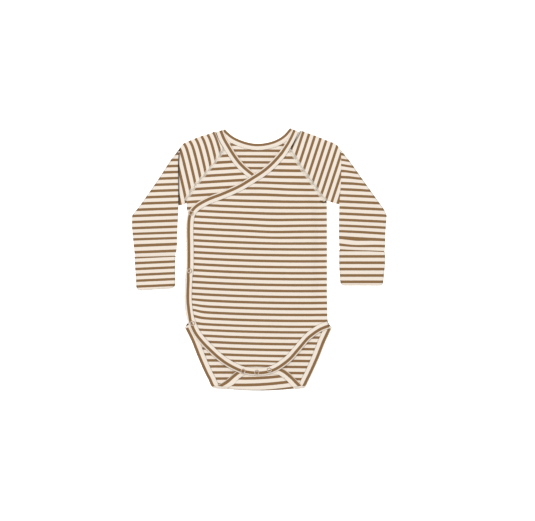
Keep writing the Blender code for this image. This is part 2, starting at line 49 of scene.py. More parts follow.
MM = 0.001
WALL = 0.75
LAYER = 1.3
FIRST_WALL = 0.5
STRIPE_PITCH = 9.2
STRIPE_SHARE = 0.43
BAND_SHARE = 0.48
STRIPE_WANDER = {"uneven": 0.035, "loops": 0.03}
STRIPE_BLUR = 0.018
IVORY = (0.752, 0.670, 0.580, 1)
BROWN = (0.218, 0.120, 0.050, 1)
LOOP_WIDTH = 0.9
LOOP_HEIGHT = 0.7
LOOP_TILT = 0.9
LOOP_FACE = {"rows": 0.6, "groove": 0.4, "groove_width": 0.35, "fibre": 0.25}
NOISE_SCALES = {"uneven": 260.0, "cloudy": 28.0, "fibre": 2400.0}
# the cloth's brightness: a base, the yarn's uneven tone (cloudy, fibre), and painted shade in the knit's
# grooves (loop)
SHADE = {"base": 0.965, "cloudy": 0.05, "fibre": 0.10, "loop": 0.06}
PAINTED_SHADE_STEPS = [
    # the painted shade's value in millimetres at which the cloth begins and ends to darken, and by what
    # share
    (1.4, 2.8, 0.38), (3, 5, 0.75),
]
KNIT_BUMP = {"Strength": 0.35, "Distance": 0.0002}


class Socket:
    """An output of a node in a material. Python's operators on it add Math nodes."""

    def __init__(self, tree, output=None):
        self.tree = tree
        self.output = output

    def node(self, kind, settings=None, inputs=None, output=0):
        """Adds a node of any kind: its settings first, then the values or links of its sockets."""
        made = self.tree.nodes.new(kind)
        for key, value in (settings or {}).items():
            setattr(made, key, value)
        for key, value in (inputs or {}).items():
            if isinstance(value, Socket):
                self.tree.links.new(value.output, made.inputs[key])
            else:
                made.inputs[key].default_value = value
        return Socket(self.tree, made.outputs[output] if len(made.outputs) else None)

    def math(self, operation, *values):
        return self.node("ShaderNodeMath", {"operation": operation}, dict(enumerate(values)))

    def __add__(self, other):
        return self.math("ADD", self, other)

    def __sub__(self, other):
        return self.math("SUBTRACT", self, other)

    def __rsub__(self, other):
        return self.math("SUBTRACT", other, self)

    def __mul__(self, other):
        return self.math("MULTIPLY", self, other)

    def __truediv__(self, other):
        return self.math("DIVIDE", self, other)

    __radd__ = __add__
    __rmul__ = __mul__

    def fraction(self):
        return self.math("FRACT", self)

    def size(self):
        return self.math("ABSOLUTE", self)

    def sine(self):
        return self.math("SINE", self)

    def step(self, low, high):
        """0 below `low`, 1 above `high`, and a soft S between them."""
        return self.node("ShaderNodeMapRange", {"interpolation_type": "SMOOTHSTEP"},
                         {0: self, 1: low, 2: high, 3: 0.0, 4: 1.0})

    def noise(self, scale, detail):
        """Noise over the piece's own coordinates."""
        place = self.node("ShaderNodeTexCoord", None, None, 3)
        return self.node("ShaderNodeTexNoise", None, {"Vector": place, "Scale": scale, "Detail": detail})

    def choose(self, off, on):
        """The colour `off` where this is 0, and `on` where it is 1."""
        return self.node("ShaderNodeMix", {"data_type": "RGBA"}, {0: self, 6: off, 7: on}, 2)

    def into(self, shader, name):
        """Links this output to one of the shader's sockets."""
        self.tree.links.new(self.output, shader.inputs[name])


def shader_of(name, **constants):
    """A new material with a Principled shader, whose constants are set on its own sockets."""
    made = bpy.data.materials.new(name)
    made.use_nodes = True
    shader = made.node_tree.nodes["Principled BSDF"]
    for key, value in constants.items():
        shader.inputs[key.replace("_", " ")].default_value = value
    return made, shader, Socket(made.node_tree)


def cloth_map(start):
    """The piece's flat cloth, as two numbers in millimetres: along the stripes and across."""
    split = start.node("ShaderNodeUVMap", {"uv_map": "cloth"})
    across = start.node("ShaderNodeSeparateXYZ", None, {0: split}, 1) / MM
    along = start.node("ShaderNodeSeparateXYZ", None, {0: split}, 0) / MM
    return along, across


def jersey(name, wide, repeats=True):
    """Jersey whose brown stripes, `wide` of a pitch, lie at every whole pitch of V or only at V = 0.

    A stripe's edge steps along the loops, so it wanders a little. Painted shade darkens the cloth
    beside the bindings, beside a sleeve's collar seam, under the edge of a sleeve's lower part and
    under the left arm, by its attribute "painted_shade" in millimetres. The bump is the face of the knit:
    in each column of loops the rows tilt up to both sides, |u| from the column's middle lifting the
    row's phase, and a groove parts the columns."""
    made, shader, start = shader_of(
        name, Roughness=0.88, Sheen_Weight=0.25, Sheen_Roughness=0.45, Sheen_Tint=(1, 0.97, 0.9, 1),
        Specular_IOR_Level=0.2)
    along, across = cloth_map(start)
    column = ((along / LOOP_WIDTH).fraction() - 0.5).size()
    rows = (across / LOOP_HEIGHT + column * LOOP_TILT).fraction()
    groove = (1 - column * 2).step(0, LOOP_FACE["groove_width"])
    loop = (rows * math.pi).sine() * LOOP_FACE["rows"] + groove * LOOP_FACE["groove"]

    uneven = start.noise(NOISE_SCALES["uneven"], 2.0)
    cloudy = start.noise(NOISE_SCALES["cloudy"], 3.0)
    fibre = start.noise(NOISE_SCALES["fibre"], 1.0)
    wander = (uneven - 0.5) * STRIPE_WANDER["uneven"] + (column - 0.25) * STRIPE_WANDER["loops"]
    number = across / STRIPE_PITCH
    from_middle = ((number + 0.5).fraction() - 0.5).size() if repeats else number.size()
    brown = 1 - (from_middle + wander).step(wide / 2 - STRIPE_BLUR, wide / 2 + STRIPE_BLUR)

    # the painted shade that the piece's points carry
    painted_shade = start.node("ShaderNodeAttribute", {"attribute_name": "painted_shade"}, None, 2)
    # painted shade in the knit's grooves and by the attribute; cloudy and fibre are the yarn's own uneven
    # tone
    shade = (SHADE["base"] + (cloudy - 0.5) * SHADE["cloudy"] + (fibre - 0.5) * SHADE["fibre"]
             + (loop - 0.5) * SHADE["loop"])
    for begins, ends, darker in PAINTED_SHADE_STEPS:
        shade = shade * (1 - painted_shade.step(begins, ends) * darker)
    colour = brown.choose(IVORY, BROWN)
    dark = start.node("ShaderNodeVectorMath", {"operation": "SCALE"}, {0: colour, "Scale": shade})
    dark.into(shader, "Base Color")
    height = loop + fibre * LOOP_FACE["fibre"]
    start.node("ShaderNodeBump", None, {**KNIT_BUMP, "Height": height}).into(shader, "Normal")
    return made


STRIPED_JERSEY = jersey("Striped cotton jersey", STRIPE_SHARE)
BINDING_JERSEY = jersey("Striped cotton jersey cut for binding", BAND_SHARE, repeats=False)


def quads_of(rows, columns, closed):
    """The quads of a grid: each joins point (r, c) to (r, c + 1), (r + 1, c + 1) and (r + 1, c).

    In a closed grid the last column joins the first."""
    row, column = np.mgrid[0:rows - 1, 0:columns - (0 if closed else 1)]
    after = (column + 1) % columns
    return np.stack([row * columns + column, row * columns + after,
                     (row + 1) * columns + after, (row + 1) * columns + column], -1).reshape(-1, 4)


def smooth_object(name, points, faces, material):
    """A new object in the scene, from points in millimetres."""
    mesh = bpy.data.meshes.new(name)
    mesh.from_pydata((points.reshape(-1, 3) * MM).tolist(), [], faces)
    mesh.materials.append(material)
    mesh.shade_smooth()
    made = bpy.data.objects.new(name, mesh)
    bpy.context.scene.collection.objects.link(made)
    return made


def into_mesh(name, grid, cloth, material, closed=False, wall=WALL, painted_shade=None):
    """A grid of points (rows, columns, 3) in millimetres becomes a piece with its cloth map.

    A wall gives it an even thickness, half each way."""
    quads = quads_of(*grid.shape[:2], closed)
    piece = smooth_object(name, grid, quads.tolist(), material)
    flat = piece.data.uv_layers.new(name="cloth")
    flat.data.foreach_set("uv", (cloth.reshape(-1, 2) * MM)[quads.reshape(-1)].ravel())
    # painted shade on the points, by which the jersey darkens
    if painted_shade is not None:
        depth = piece.data.attributes.new("painted_shade", "FLOAT", "POINT")
        depth.data.foreach_set("value", painted_shade.ravel())
    if wall:
        shell = piece.modifiers.new("Cloth", "SOLIDIFY")
        shell.thickness = wall * MM
        shell.offset = 0
    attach(piece, "root")
    return piece


# ---------------------------------------------------------------------------------------------
# Back. One piece of jersey from the neck to the crotch, cut in one with the flap that folds up in
# front between the legs. Its side and shoulder edges are overlocked, and the others are bound.

NECK_BACK = [
    # x, y, level
    (-54.8, 200.6, 1), (-50.8, 196.0, 1), (-40.8, 188.2, 1), (-29.1, 182.7, 1), (-15.8, 178.7, 1),
    (-3.1, 177.3, 1), (10.0, 178.4, 1), (25.1, 182.7, 1), (38.2, 190.4, 1), (49.0, 202.2, 1),
]
BACK_NECK_ENDS = {"right": 2, "left": 8}
RAGLAN_BACK_RIGHT = [(-66.0, 152.0, 0), (-86.0, 124.0, 0), (-101.0, 104.0, 0)]
RAGLAN_BACK_LEFT = [(60.0, 155.0, 0), (78.0, 128.0, 0), (92.0, 108.0, 0)]
RAGLAN_BACK_TOPS = {"right": (-47.0, 179.5, 1), "left": (43.4, 181.6, 1)}
SIDE_RIGHT = [
    (-113.2, 86.2, 0), (-112.0, 78.0, 0), (-110.6, 66.0, 0), (-110.6, 30.0, 0),
    (-110.6, -60.0, 0), (-110.0, -82.0, 0), (-110.2, -95.0, 1), (-114.5, -104.5, 1),
]
SIDE_LEFT = [
    (104.6, 90.4, 0), (104.9, 30.0, 0), (104.9, -60.0, 0), (105.0, -82.0, 0), (105.2, -94.0, 1),
    (111.0, -105.0, 1),
]
LEG_EDGE_BACK = [
    (-114.5, -104.5, 1), (-107.2, -119.0, 1), (-102.1, -130.3, 1), (-92.9, -154.0, 1),
    (-83.0, -179.0, 1), (-77.3, -191.2, 1), (-72.8, -201.6, 1), (-66.6, -206.6, 1),
    (-60.7, -210.7, 1), (-51.5, -217.2, 1), (-42.0, -226.0, 1), (-37.1, -230.4, 1),
    (-30.0, -236.0, 1), (-22.0, -239.6, 1), (-11.0, -240.6, 1), (12.0, -240.6, 1),
    (24.0, -240.0, 1), (33.0, -237.8, 1), (41.7, -232.2, 1), (51.2, -223.3, 1), (59.7, -213.8, 1),
    (65.0, -208.0, 1), (70.5, -201.6, 1), (74.4, -193.3, 1), (79.9, -181.2, 1), (90.1, -156.0, 1),
    (99.2, -132.3, 1), (104.2, -121.0, 1), (109.3, -109.8, 1), (111.0, -105.0, 1),
]
CROTCH_FOLD = {"start": -201.6, "levels": 3}
CROTCH_BOW = {"rise": 4.6, "half_width": 66.0, "fades_over": 60.0}
FLAP_SETTLES = {"start": 3.0, "length": 13.0, "levels": 2.0}
BACK_LEVEL = 0
FOLD_RADIUS = CROTCH_FOLD["levels"] * LAYER / 2
FOLD_LENGTH = math.pi * FOLD_RADIUS
STRIPES_BACK = {"middle": -148.4, "pitch": 9.05, "tilt": -0.007, "sag": 0.0}
STRIPES_SPREAD = {"below": -148.0, "share": 0.032}
FLAP_STRIPES = {"shift": 1.46, "stretch": 0.113, "tilt": 0.036}
BESIDE_BINDING = 3
BINDING_REACH = 9.4
NECK_REACH = 8.0
CURVE_STEPS = 24
EDGE_STEP = 3.0
FINE_STEP = 0.5
EDGE_BLUR = 2.0
EDGE_STRIP = 10.0
SLOPE_LENGTH = 18.0
TIPS = (0.0015, 0.9995)
NECK_DIPS_FROM = 120.0


def smoothstep(t):
    """0 below 0, 1 above 1, and t * t * (3 - 2 t) between them."""
    t = np.clip(t, 0, 1)
    return t * t * (3 - 2 * t)


def along_path(path):
    """Distance of each point of a path from its start, in all the coordinates that it has."""
    return np.r_[0, np.cumsum(np.linalg.norm(np.diff(path, axis=0), axis=1))]


def between(points, known, wanted):
    """The points at the wanted values, from points at known values that rise."""
    return np.stack([np.interp(wanted, known, column) for column in points.T], axis=-1)


def unit(vectors):
    """Each vector, made one long."""
    return vectors / np.linalg.norm(vectors, axis=-1, keepdims=True)


def curve(rows, step=EDGE_STEP, count=None):
    """A smooth edge through the rows, read off at even distances.

    Between rows b and c, with a before and d after, the point at share t is b plus half of
    (c - a) t + (2a - 5b + 4c - d) t^2 + (3b - a - 3c + d) t^3."""
    rows = np.array(rows, float)
    padded = np.vstack([2 * rows[0] - rows[1], rows, 2 * rows[-1] - rows[-2]])
    a, b, c, d = (padded[i:len(padded) - 3 + i, None] for i in range(4))
    t = np.linspace(0, 1, CURVE_STEPS, endpoint=False)[None, :, None]
    bend = (c - a) * t + (2 * a - 5 * b + 4 * c - d) * t**2 + (3 * b - a - 3 * c + d) * t**3
    fine = np.vstack([(b + bend / 2).reshape(-1, rows.shape[1]), rows[-1:]])
    if rows.shape[1] > 2:
        fine[:, 2] = np.clip(fine[:, 2], rows[:, 2].min(), rows[:, 2].max())
    along = along_path(fine[:, :2])
    return between(fine, along, np.linspace(0, along[-1], (count or round(along[-1] / step)) + 1))


def crowded(count):
    """Shares from 0 to 1 that crowd towards both ends: t less four fifths of sin(2 pi t) / 2 pi."""
    t = np.linspace(0, 1, count + 1)
    return t - 0.8 * np.sin(2 * math.pi * t) / (2 * math.pi)


def rows_between(left, right, columns):
    """A panel as a grid: each row joins points of equal rank in height on its two edges.

    A point's rank is its share of the edge's height, and the rows take the ranks of both edges'
    own points, so they crowd where an edge runs nearly level. The tips themselves are left out."""
    ranks = []
    for edge in (left, right):
        low, high = edge[:, 1].min(), edge[:, 1].max()
        ranks.append((edge[:, 1] - low) / (high - low))
    rank = np.unique(np.round(np.concatenate(ranks), 3))
    rank = rank[(rank > TIPS[0]) & (rank < TIPS[1])]
    ends = []
    for edge, own in zip((left, right), ranks):
        order = np.argsort(own)
        ends.append(between(edge[order, :2], own[order], rank))
    w = crowded(columns)[None, :, None]
    return ends[0][:, None] * (1 - w) + ends[1][:, None] * w


def edge_field(grid, edge):
    """Distance of each point to the panel's edge, and the edge's level round it.

    The level is the mean over the edge's points, weighted by 1 / (d^2 + EDGE_BLUR)^2."""
    near = np.full(grid.shape[:2], np.inf, np.float32)
    total, weights = np.zeros((2,) + grid.shape[:2])
    for part in np.array_split(edge.astype(np.float32), 8):
        square = ((grid[:, :, None, :].astype(np.float32) - part[None, None, :, :2]) ** 2).sum(-1)
        near = np.minimum(near, square.min(-1))
        weight = 1 / (square + EDGE_BLUR) ** 2
        total += (weight * part[:, 2]).sum(-1)
        weights += weight.sum(-1)
    return np.sqrt(near), total / weights


def levels_of(cut, edges, inside):
    """A panel's levels: its edge's own along a strip, then a soft slope to the level `inside`.

    It also returns how far down the slope each point lies, from 0 to 1."""
    distance, edge_level = edge_field(cut, edges)
    slope = smoothstep((distance - EDGE_STRIP) / SLOPE_LENGTH)
    return edge_level + (inside - edge_level) * slope, slope


def creased(grid, creases):
    """Height that soft creases add: each is a straight ridge, or a trough if its height is negative.

    Across its line it falls off as exp(-(d / width)^2), and along it as sin(pi s) of its share s."""
    rise = np.zeros(grid.shape[:2])
    for x0, y0, x1, y1, width, height in creases:
        start, span = np.array([x0, y0]), np.array([x1 - x0, y1 - y0])
        reach = np.hypot(*span)
        off = grid[..., :2] - start
        s = (off @ span) / reach**2
        across = (off[..., 0] * span[1] - off[..., 1] * span[0]) / reach
        rise += height * np.exp(-(across / width) ** 2) * np.sin(math.pi * np.clip(s, 0, 1))
    return rise


def rippled(x, y, size):
    """The cloth's faint unevenness: the sum of three long slanted sine waves, `size` high."""
    return size * (np.sin(x / 17 + y / 31) + np.sin(x / 29 - y / 13 + 1.3) + np.sin(y / 43 - x / 53 + 4)) / 3


def striped(x, y, look):
    """Cloth map of a panel whose stripes are `pitch` apart, tilted to the right and sagging.

    One stripe's middle crosses x = 0 at `middle`; it climbs by `tilt` times x, and `sag` times x^2."""
    across = (y - look["middle"] - look["tilt"] * x - look["sag"] * x**2) / look["pitch"]
    return np.stack([x, across * STRIPE_PITCH], axis=-1)


def beside(grid, path, reach):
    """The painted shade of points beside a binding: it is strongest up to its turned edge, and falls by
    the distance past that."""
    return np.minimum(BESIDE_BINDING + reach - edge_field(grid[..., :2], path)[0], BESIDE_BINDING)


def bowed(x, y):
    """How far the crotch bows up towards the legs: by the square of the distance from the middle."""
    rise = CROTCH_BOW["rise"] * np.clip(np.abs(x) / CROTCH_BOW["half_width"], 0, 1) ** 2
    return rise * (1 - smoothstep((y - CROTCH_FOLD["start"]) / CROTCH_BOW["fades_over"]))


def folded(x, y, level, lift=0.0):
    """Place of a point of the back, as cut: past the crotch fold it turns up over the panel.

    It turns round a half circle of FOLD_RADIUS, runs on upwards, and settles by some levels."""
    past = CROTCH_FOLD["start"] - y
    angle = np.clip(past / FOLD_RADIUS, 0, math.pi)
    before = np.clip(past, None, 0)
    beyond = np.clip(past - FOLD_LENGTH, 0, None)
    settled = smoothstep((beyond - FLAP_SETTLES["start"]) / FLAP_SETTLES["length"])
    radius = FOLD_RADIUS - lift
    return np.stack([
        x + 0 * past,
        CROTCH_FOLD["start"] + bowed(x, y) - before - radius * np.sin(angle) + beyond,
        level * LAYER + FIRST_WALL + FOLD_RADIUS - radius * np.cos(angle)
        - settled * FLAP_SETTLES["levels"] * LAYER,
    ], axis=-1)


def cut_of(*edges):
    """Flat size of a cut piece in metres: its box's width and length, and its area by shoelace."""
    loop = np.vstack(edges)[:, :2] * MM
    x, y = loop.T
    area = abs((x * np.roll(y, -1) - y * np.roll(x, -1)).sum()) / 2
    return {"flat": tuple(float(v) for v in np.ptp(loop, axis=0)), "area": float(area)}


def declare(node, cut):
    """Hides the part that model.glb gave for a finished piece of cloth."""
    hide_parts(node)


legs = curve(LEG_EDGE_BACK)
lowest = int(np.argmin(legs[:, 1]))
neck_start, neck_end = NECK_BACK[BACK_NECK_ENDS["right"]], NECK_BACK[BACK_NECK_ENDS["left"]]
back_right = np.vstack([
    curve([neck_start, RAGLAN_BACK_TOPS["right"]] + RAGLAN_BACK_RIGHT + [SIDE_RIGHT[0]]),
    curve(SIDE_RIGHT)[1:], legs[1:lowest + 1]])
back_left = np.vstack([
    curve([neck_end, RAGLAN_BACK_TOPS["left"]] + RAGLAN_BACK_LEFT + [SIDE_LEFT[0]]),
    curve(SIDE_LEFT)[1:], legs[lowest:-1][::-1]])
neck_edge = curve(NECK_BACK[BACK_NECK_ENDS["right"]:BACK_NECK_ENDS["left"] + 1])
back_cut = rows_between(back_right, back_left, columns=90)
chord = np.interp(back_cut[..., 0], neck_edge[[0, -1], 0], neck_edge[[0, -1], 1])
dip = chord - np.interp(back_cut[..., 0], neck_edge[:, 0], neck_edge[:, 1])
back_cut[..., 1] -= dip * smoothstep((back_cut[..., 1] - NECK_DIPS_FROM) / (chord - NECK_DIPS_FROM))
back_level, _ = levels_of(back_cut, np.vstack([back_right, back_left, neck_edge]), BACK_LEVEL)
back_x, back_y = back_cut.transpose(2, 0, 1)
back_grid = folded(back_x, back_y, back_level)
onto_flap = smoothstep((CROTCH_FOLD["start"] - back_y) / FOLD_LENGTH)
eased = onto_flap * (FLAP_STRIPES["shift"] + FLAP_STRIPES["stretch"] * (CROTCH_FOLD["start"] - back_y)
                     + FLAP_STRIPES["tilt"] * back_x)
spread = STRIPES_SPREAD["share"] * np.clip(STRIPES_SPREAD["below"] - back_y, 0, None)
eased = eased + (1 - onto_flap) * (bowed(back_x, back_y) + spread)
back_painted_shade = np.maximum(beside(back_cut, legs, BINDING_REACH), beside(back_cut, neck_edge, NECK_REACH))
back = into_mesh("back_panel", back_grid[:, ::-1], striped(back_x, back_y + eased, STRIPES_BACK)[:, ::-1],
                 STRIPED_JERSEY, painted_shade=back_painted_shade[:, ::-1])
declare("back",
        cut_of(back_right, back_left[::-1], neck_edge[::-1]))

# ---------------------------------------------------------------------------------------------
# Bindings. Strips of the same jersey cut along a stripe, folded double over the raw edges of the
# neck, the legs and the wrap, and held by a line of chain stitch just inside their turned edge. A
# brown band shows between a narrow and a wide ivory one.

BINDING_BEND = 1.6
BINDING_DOME = 0.35
BINDING_TUCK = 0.9
BINDING_RISES_OVER = 0.35
BINDING_COLUMNS = 20
BEND_STEPS = 10
SEAM_COLUMN = 2
STITCH_PITCH = 2.6
STITCH_LENGTH = 2.0
STITCH_HALF = {"width": 0.28, "height": 0.22}
STITCH_STATIONS = (-1, -0.8, 0, 0.8, 1)
STITCH_ANGLES = (0, 50, 90, 130, 180)
FLAP_CORNER_LENGTH = 8.0
FOLD_EASES_OVER = 9.0
FOLD_BROWN_FROM = 2
# How far in from its outermost point a binding's brown band lies. At the fold it is out of sight.
NECK_BROWN, WRAP_BROWN = 2.8, 4.5
LEG_BROWN = {"right": 3.2, "left": 3.9, "right_flap": -3.7, "left_flap": -3.6, "fold": -40.0}


def laid(x, y, level, lift=0.0):
    """Place of a cloth point: flat on the table, `lift` above the middle of its wall."""
    return np.stack([x, y, level * LAYER + FIRST_WALL + lift + 0 * x], axis=-1)


def normals_of(path, side):
    """Unit normals of a path in x and y; side 1 is to the left of travel, -1 to the right."""
    tangents = unit(np.gradient(path[:, :2], axis=0))
    return side * np.stack([-tangents[:, 1], tangents[:, 0]], axis=1), tangents


def stitched(name, seam, ends=None, half=STITCH_HALF):
    """A row of stitches: each is half a spindle that lies on the cloth.

    They follow one another along the seam, or each runs straight from a point of the seam to its
    fellow in `ends`. Along a stitch the half width is that of the thread times sqrt(1.2 - t^6), for t
    from -1 to 1, and round it the profile is the upper half of an ellipse."""
    t, turn = np.array(STITCH_STATIONS), np.radians(STITCH_ANGLES)
    if ends is None:
        along = along_path(seam)
        middles = np.arange(STITCH_PITCH / 2, along[-1] - STITCH_PITCH / 2, STITCH_PITCH)
        line = between(seam, along, middles[:, None] + t[None] * STITCH_LENGTH / 2)
    else:
        line = (seam[:, None] + ends[:, None] + t[:, None] * (ends - seam)[:, None]) / 2
    ahead = unit(line[:, -1] - line[:, 0])
    aside = unit(np.cross(ahead, [0, 0, 1]))
    above = np.cross(aside, ahead)
    girth = np.sqrt(1.2 - t**6)
    points = (line[:, :, None]
              + aside[:, None, None] * (girth[:, None] * np.cos(turn) * half["width"])[None, ..., None]
              + above[:, None, None] * (girth[:, None] * np.sin(turn) * half["height"])[None, ..., None])
    count, rows, columns = points.shape[:3]
    first = np.arange(count)[:, None, None] * rows * columns
    quads = (quads_of(rows, columns, True)[:, [0, 3, 2, 1]] + first).reshape(-1, 4)
    caps = np.array([range(columns), range(columns)[::-1]]) + np.array([[0], [(rows - 1) * columns]])
    caps = (caps + first).reshape(-1, columns)
    piece = smooth_object(name, points, quads.tolist() + caps.tolist(), THREAD)
    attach(piece, "root")
    return piece


def bind(name, node, path, side, brown, place=laid, directions=None, reach=BINDING_REACH):
    """A strip folded round a panel's edge and stitched: a U-shaped profile carried along its path.

    The profile runs from the upper leg's end out to the edge, round it as a half ellipse, and back
    along the lower leg. The upper leg swells by BINDING_DOME as sin(pi s) and is held down at its
    end. V is the distance round the profile, zero `brown` millimetres in from the outermost point."""
    normals, tangents = normals_of(path, side)
    if directions is None:
        directions = normals
    facing = (directions * normals).sum(axis=1)
    share = crowded(BINDING_COLUMNS)
    turn = np.radians(np.linspace(0, 180, BEND_STEPS + 1)[1:-1])
    depth = np.r_[BINDING_REACH * (1 - share), -BINDING_BEND * np.sin(turn), BINDING_REACH * share]
    dome = np.sin(math.pi * share) * BINDING_DOME
    lift_up = BINDING_TUCK + (LAYER - BINDING_TUCK) * smoothstep(share / BINDING_RISES_OVER) + dome
    lift = np.r_[lift_up, LAYER * np.cos(turn), -lift_up[::-1] + dome[::-1]]
    round_it = np.r_[0, np.cumsum(np.hypot(np.diff(depth), np.diff(lift)))]
    outermost = round_it[np.argmin(depth)]
    legs_reach = np.reshape(reach, (-1, 1)) / (BINDING_REACH * facing[:, None])
    inward = depth[None, :] * np.where(depth[None, :] > 0, legs_reach, 1)
    x = path[:, :1] + directions[:, :1] * inward
    y = path[:, 1:2] + directions[:, 1:] * inward
    level = path[:, 2:3] + 0 * inward
    grid = place(x, y, level, lift[None, :] + 0 * x)
    shift = (directions * tangents).sum(axis=1)[:, None] * inward
    along = along_path(path[:, :2])
    across = outermost - round_it[None, :] - np.reshape(brown, (-1, 1)) + 0 * shift
    cloth = np.stack([along[:, None] + shift, across], -1)
    if side > 0:
        grid, cloth = grid[::-1], cloth[::-1]
    piece = into_mesh(name, grid, cloth, BINDING_JERSEY)
    at = SEAM_COLUMN
    seam = place(x[:, at], y[:, at], level[:, at], lift_up[at] + WALL / 2 + 0 * x[:, at])
    stitches = stitched(f"{name}_stitches", seam)
    declare(node,
            {"flat": (round_it[-1] * MM, along[-1] * MM)})


def cotton_thread():
    """Ivory sewing cotton, whose ply shows as fine bands of painted shade."""
    made, shader, start = shader_of("Ivory cotton thread", Roughness=0.7, Sheen_Weight=0.2)
    place = start.node("ShaderNodeTexCoord", None, None, 3)
    ply = start.node("ShaderNodeTexWave", None, {"Vector": place, "Scale": 900.0, "Distortion": 1.0}, 1)
    ply.choose((0.70, 0.63, 0.52, 1), (0.86, 0.80, 0.70, 1)).into(shader, "Base Color")
    return made


THREAD = cotton_thread()

leg_normals, _ = normals_of(legs, 1)
past = CROTCH_FOLD["start"] - legs[:, 1]
level_with_fold = np.c_[np.sign(-legs[:, 0]), 0 * past]
off_flap = smoothstep((past - FOLD_LENGTH - FLAP_SETTLES["start"] - FLAP_SETTLES["length"])
                      / FLAP_CORNER_LENGTH)[:, None]
onto_fold = smoothstep((past + FOLD_EASES_OVER) / FOLD_EASES_OVER)[:, None]
turning = onto_fold * (1 - off_flap)
leg_directions = unit((1 - turning) * leg_normals + turning * level_with_fold)
side_of = np.where(legs[:, 0] < 0, "right", "left")
leg_brown = np.where(past < FOLD_BROWN_FROM, [LEG_BROWN[side] for side in side_of],
                     np.where(past < FOLD_LENGTH, LEG_BROWN["fold"],
                              [LEG_BROWN[side + "_flap"] for side in side_of]))
leg_brown[[0, -1]] = LEG_BROWN["fold"]
bind("leg_binding_back", "binding_leg_back", legs, 1, leg_brown, folded, leg_directions)
bind("neck_binding_back", "binding_neck_back", curve(NECK_BACK), -1, NECK_BROWN,
     reach=NECK_REACH)

# ---------------------------------------------------------------------------------------------
# Under front. The left half of the wrap, sewn into the right side and shoulder seams: it crosses
# the chest under the outer front, and its bound edge shows in the neck's V.

RAGLAN_RIGHT = [
    (-54.2, 169.2, 3.8), (-61.5, 160.2, 3.2), (-68.2, 151.6, 2.5), (-76.0, 142.0, 1.8),
    (-84.6, 131.4, 1.3), (-93.4, 120.9, 1), (-101.0, 111.2, 1), (-107.6, 101.3, 1), (-113.4, 91.0, 1),
]
UNDER_COLLAR = [(-57.8, 199.8, 4), (-53.4, 188.5, 4)]
WRAP_UNDER = [
    (-48.3, 179.2, 3.9), (-37.5, 161.7, 3.1), (-26.2, 147.3, 2.2), (-9.9, 133.4, 2), (10.0, 120.5, 2),
    (32.0, 108.5, 2), (46.0, 99.0, 2), (54.5, 88.0, 2), (58.0, 74.0, 2), (58.0, -78.0, 2),
]
SIDE_UNDER = [(-110.6, -82.0, 1), (-110.6, -40.0, 1), (-110.6, 30.0, 1), (-110.6, 62.0, 1),
              (-112.6, 78.0, 1)]
HEM_UNDER = [(58.0, -78.0, 2), (20.0, -79.5, 1.8), (-60.0, -80.0, 1.2), (-110.6, -82.0, 1)]
UNDER_LEVEL = 2
STRIPES_UNDER = {"middle": 143.6, "pitch": 9.75, "tilt": 0.057, "sag": 0.0}
SEAM_ROLL = {"depth": 0.45, "width": 1.1}


def rolled(grid, seam):
    """How far a panel turns down into a seam: SEAM_ROLL's depth times exp(-(d / width)^2)."""
    near = edge_field(grid, seam)[0]
    return -SEAM_ROLL["depth"] * np.exp(-(near / SEAM_ROLL["width"]) ** 2)


under_right = np.vstack([curve(SIDE_UNDER + [RAGLAN_RIGHT[-1]]), curve(RAGLAN_RIGHT[::-1])[1:]])
under_wrap = curve(WRAP_UNDER)
under_cut = rows_between(under_right, under_wrap, columns=60)
under_level, _ = levels_of(under_cut, np.vstack([under_right, under_wrap, curve(HEM_UNDER)]),
                           UNDER_LEVEL)
under_x, under_y = under_cut.transpose(2, 0, 1)
under_grid = laid(under_x, under_y, under_level, rolled(under_cut, curve(RAGLAN_RIGHT)))
under_bound = curve(UNDER_COLLAR + WRAP_UNDER)
front_under = into_mesh("front_under_panel", under_grid, striped(under_x, under_y, STRIPES_UNDER),
                        STRIPED_JERSEY, painted_shade=beside(under_cut, under_bound, BINDING_REACH))
declare("front_under",
        cut_of(under_right, under_wrap))
bind("wrap_binding_under", "binding_wrap_under", under_bound, -1, WRAP_BROWN)

# ---------------------------------------------------------------------------------------------
# Outer front. The right half of the wrap, sewn into the left side and shoulder seams. It crosses
# to the right side, where it is snapped shut, and runs down over the flap. One binding goes from
# the neck along the wrap, down the side and round both legs.

RAGLAN_LEFT = [
    (47.4, 169.2, 4.5), (55.7, 158.7, 4.4), (61.5, 148.5, 3.9), (68.3, 137.8, 3.0),
    (76.2, 127.6, 2.2), (83.0, 117.8, 1.7), (89.8, 107.8, 1.3), (96.6, 98.6, 1), (103.0, 91.8, 1),
]
WRAP_COLLAR = [(52.8, 200.6, 4), (47.4, 188.7, 4.1), (41.9, 178.7, 4.3)]
WRAP_OUTER = [
    (37.1, 171.6, 4.4), (31.4, 163.7, 4.6), (18.6, 149.5, 5), (5.0, 137.8, 5), (-10.5, 127.6, 5),
    (-31.8, 114.6, 5), (-55.8, 103.8, 4.6), (-80.8, 94.0, 4), (-98.2, 84.1, 3.9), (-107.3, 73.9, 3.8),
    (-110.8, 62.6, 3.4), (-111.8, 45.0, 3), (-111.4, 20.0, 3), (-111.5, -13.7, 3),
    (-113.4, -28.6, 3), (-114.4, -60.0, 3), (-113.2, -76.0, 3.3), (-111.4, -88.0, 3.7),
    (-107.6, -100.3, 4), (-101.3, -114.6, 4), (-92.0, -127.3, 4), (-79.6, -140.3, 4),
    (-63.8, -154.7, 4.3), (-48.1, -165.6, 4.7), (-29.8, -174.4, 5), (-16.0, -177.3, 5),
    (-3.5, -178.2, 5), (9.2, -177.4, 5), (21.5, -174.1, 5), (33.4, -167.8, 4.7), (48.0, -156.6, 4.3),
    (59.3, -144.1, 4), (70.0, -131.4, 4), (77.1, -123.5, 4), (86.6, -116.0, 4), (96.7, -109.8, 4),
    (108.2, -105.4, 4),
]
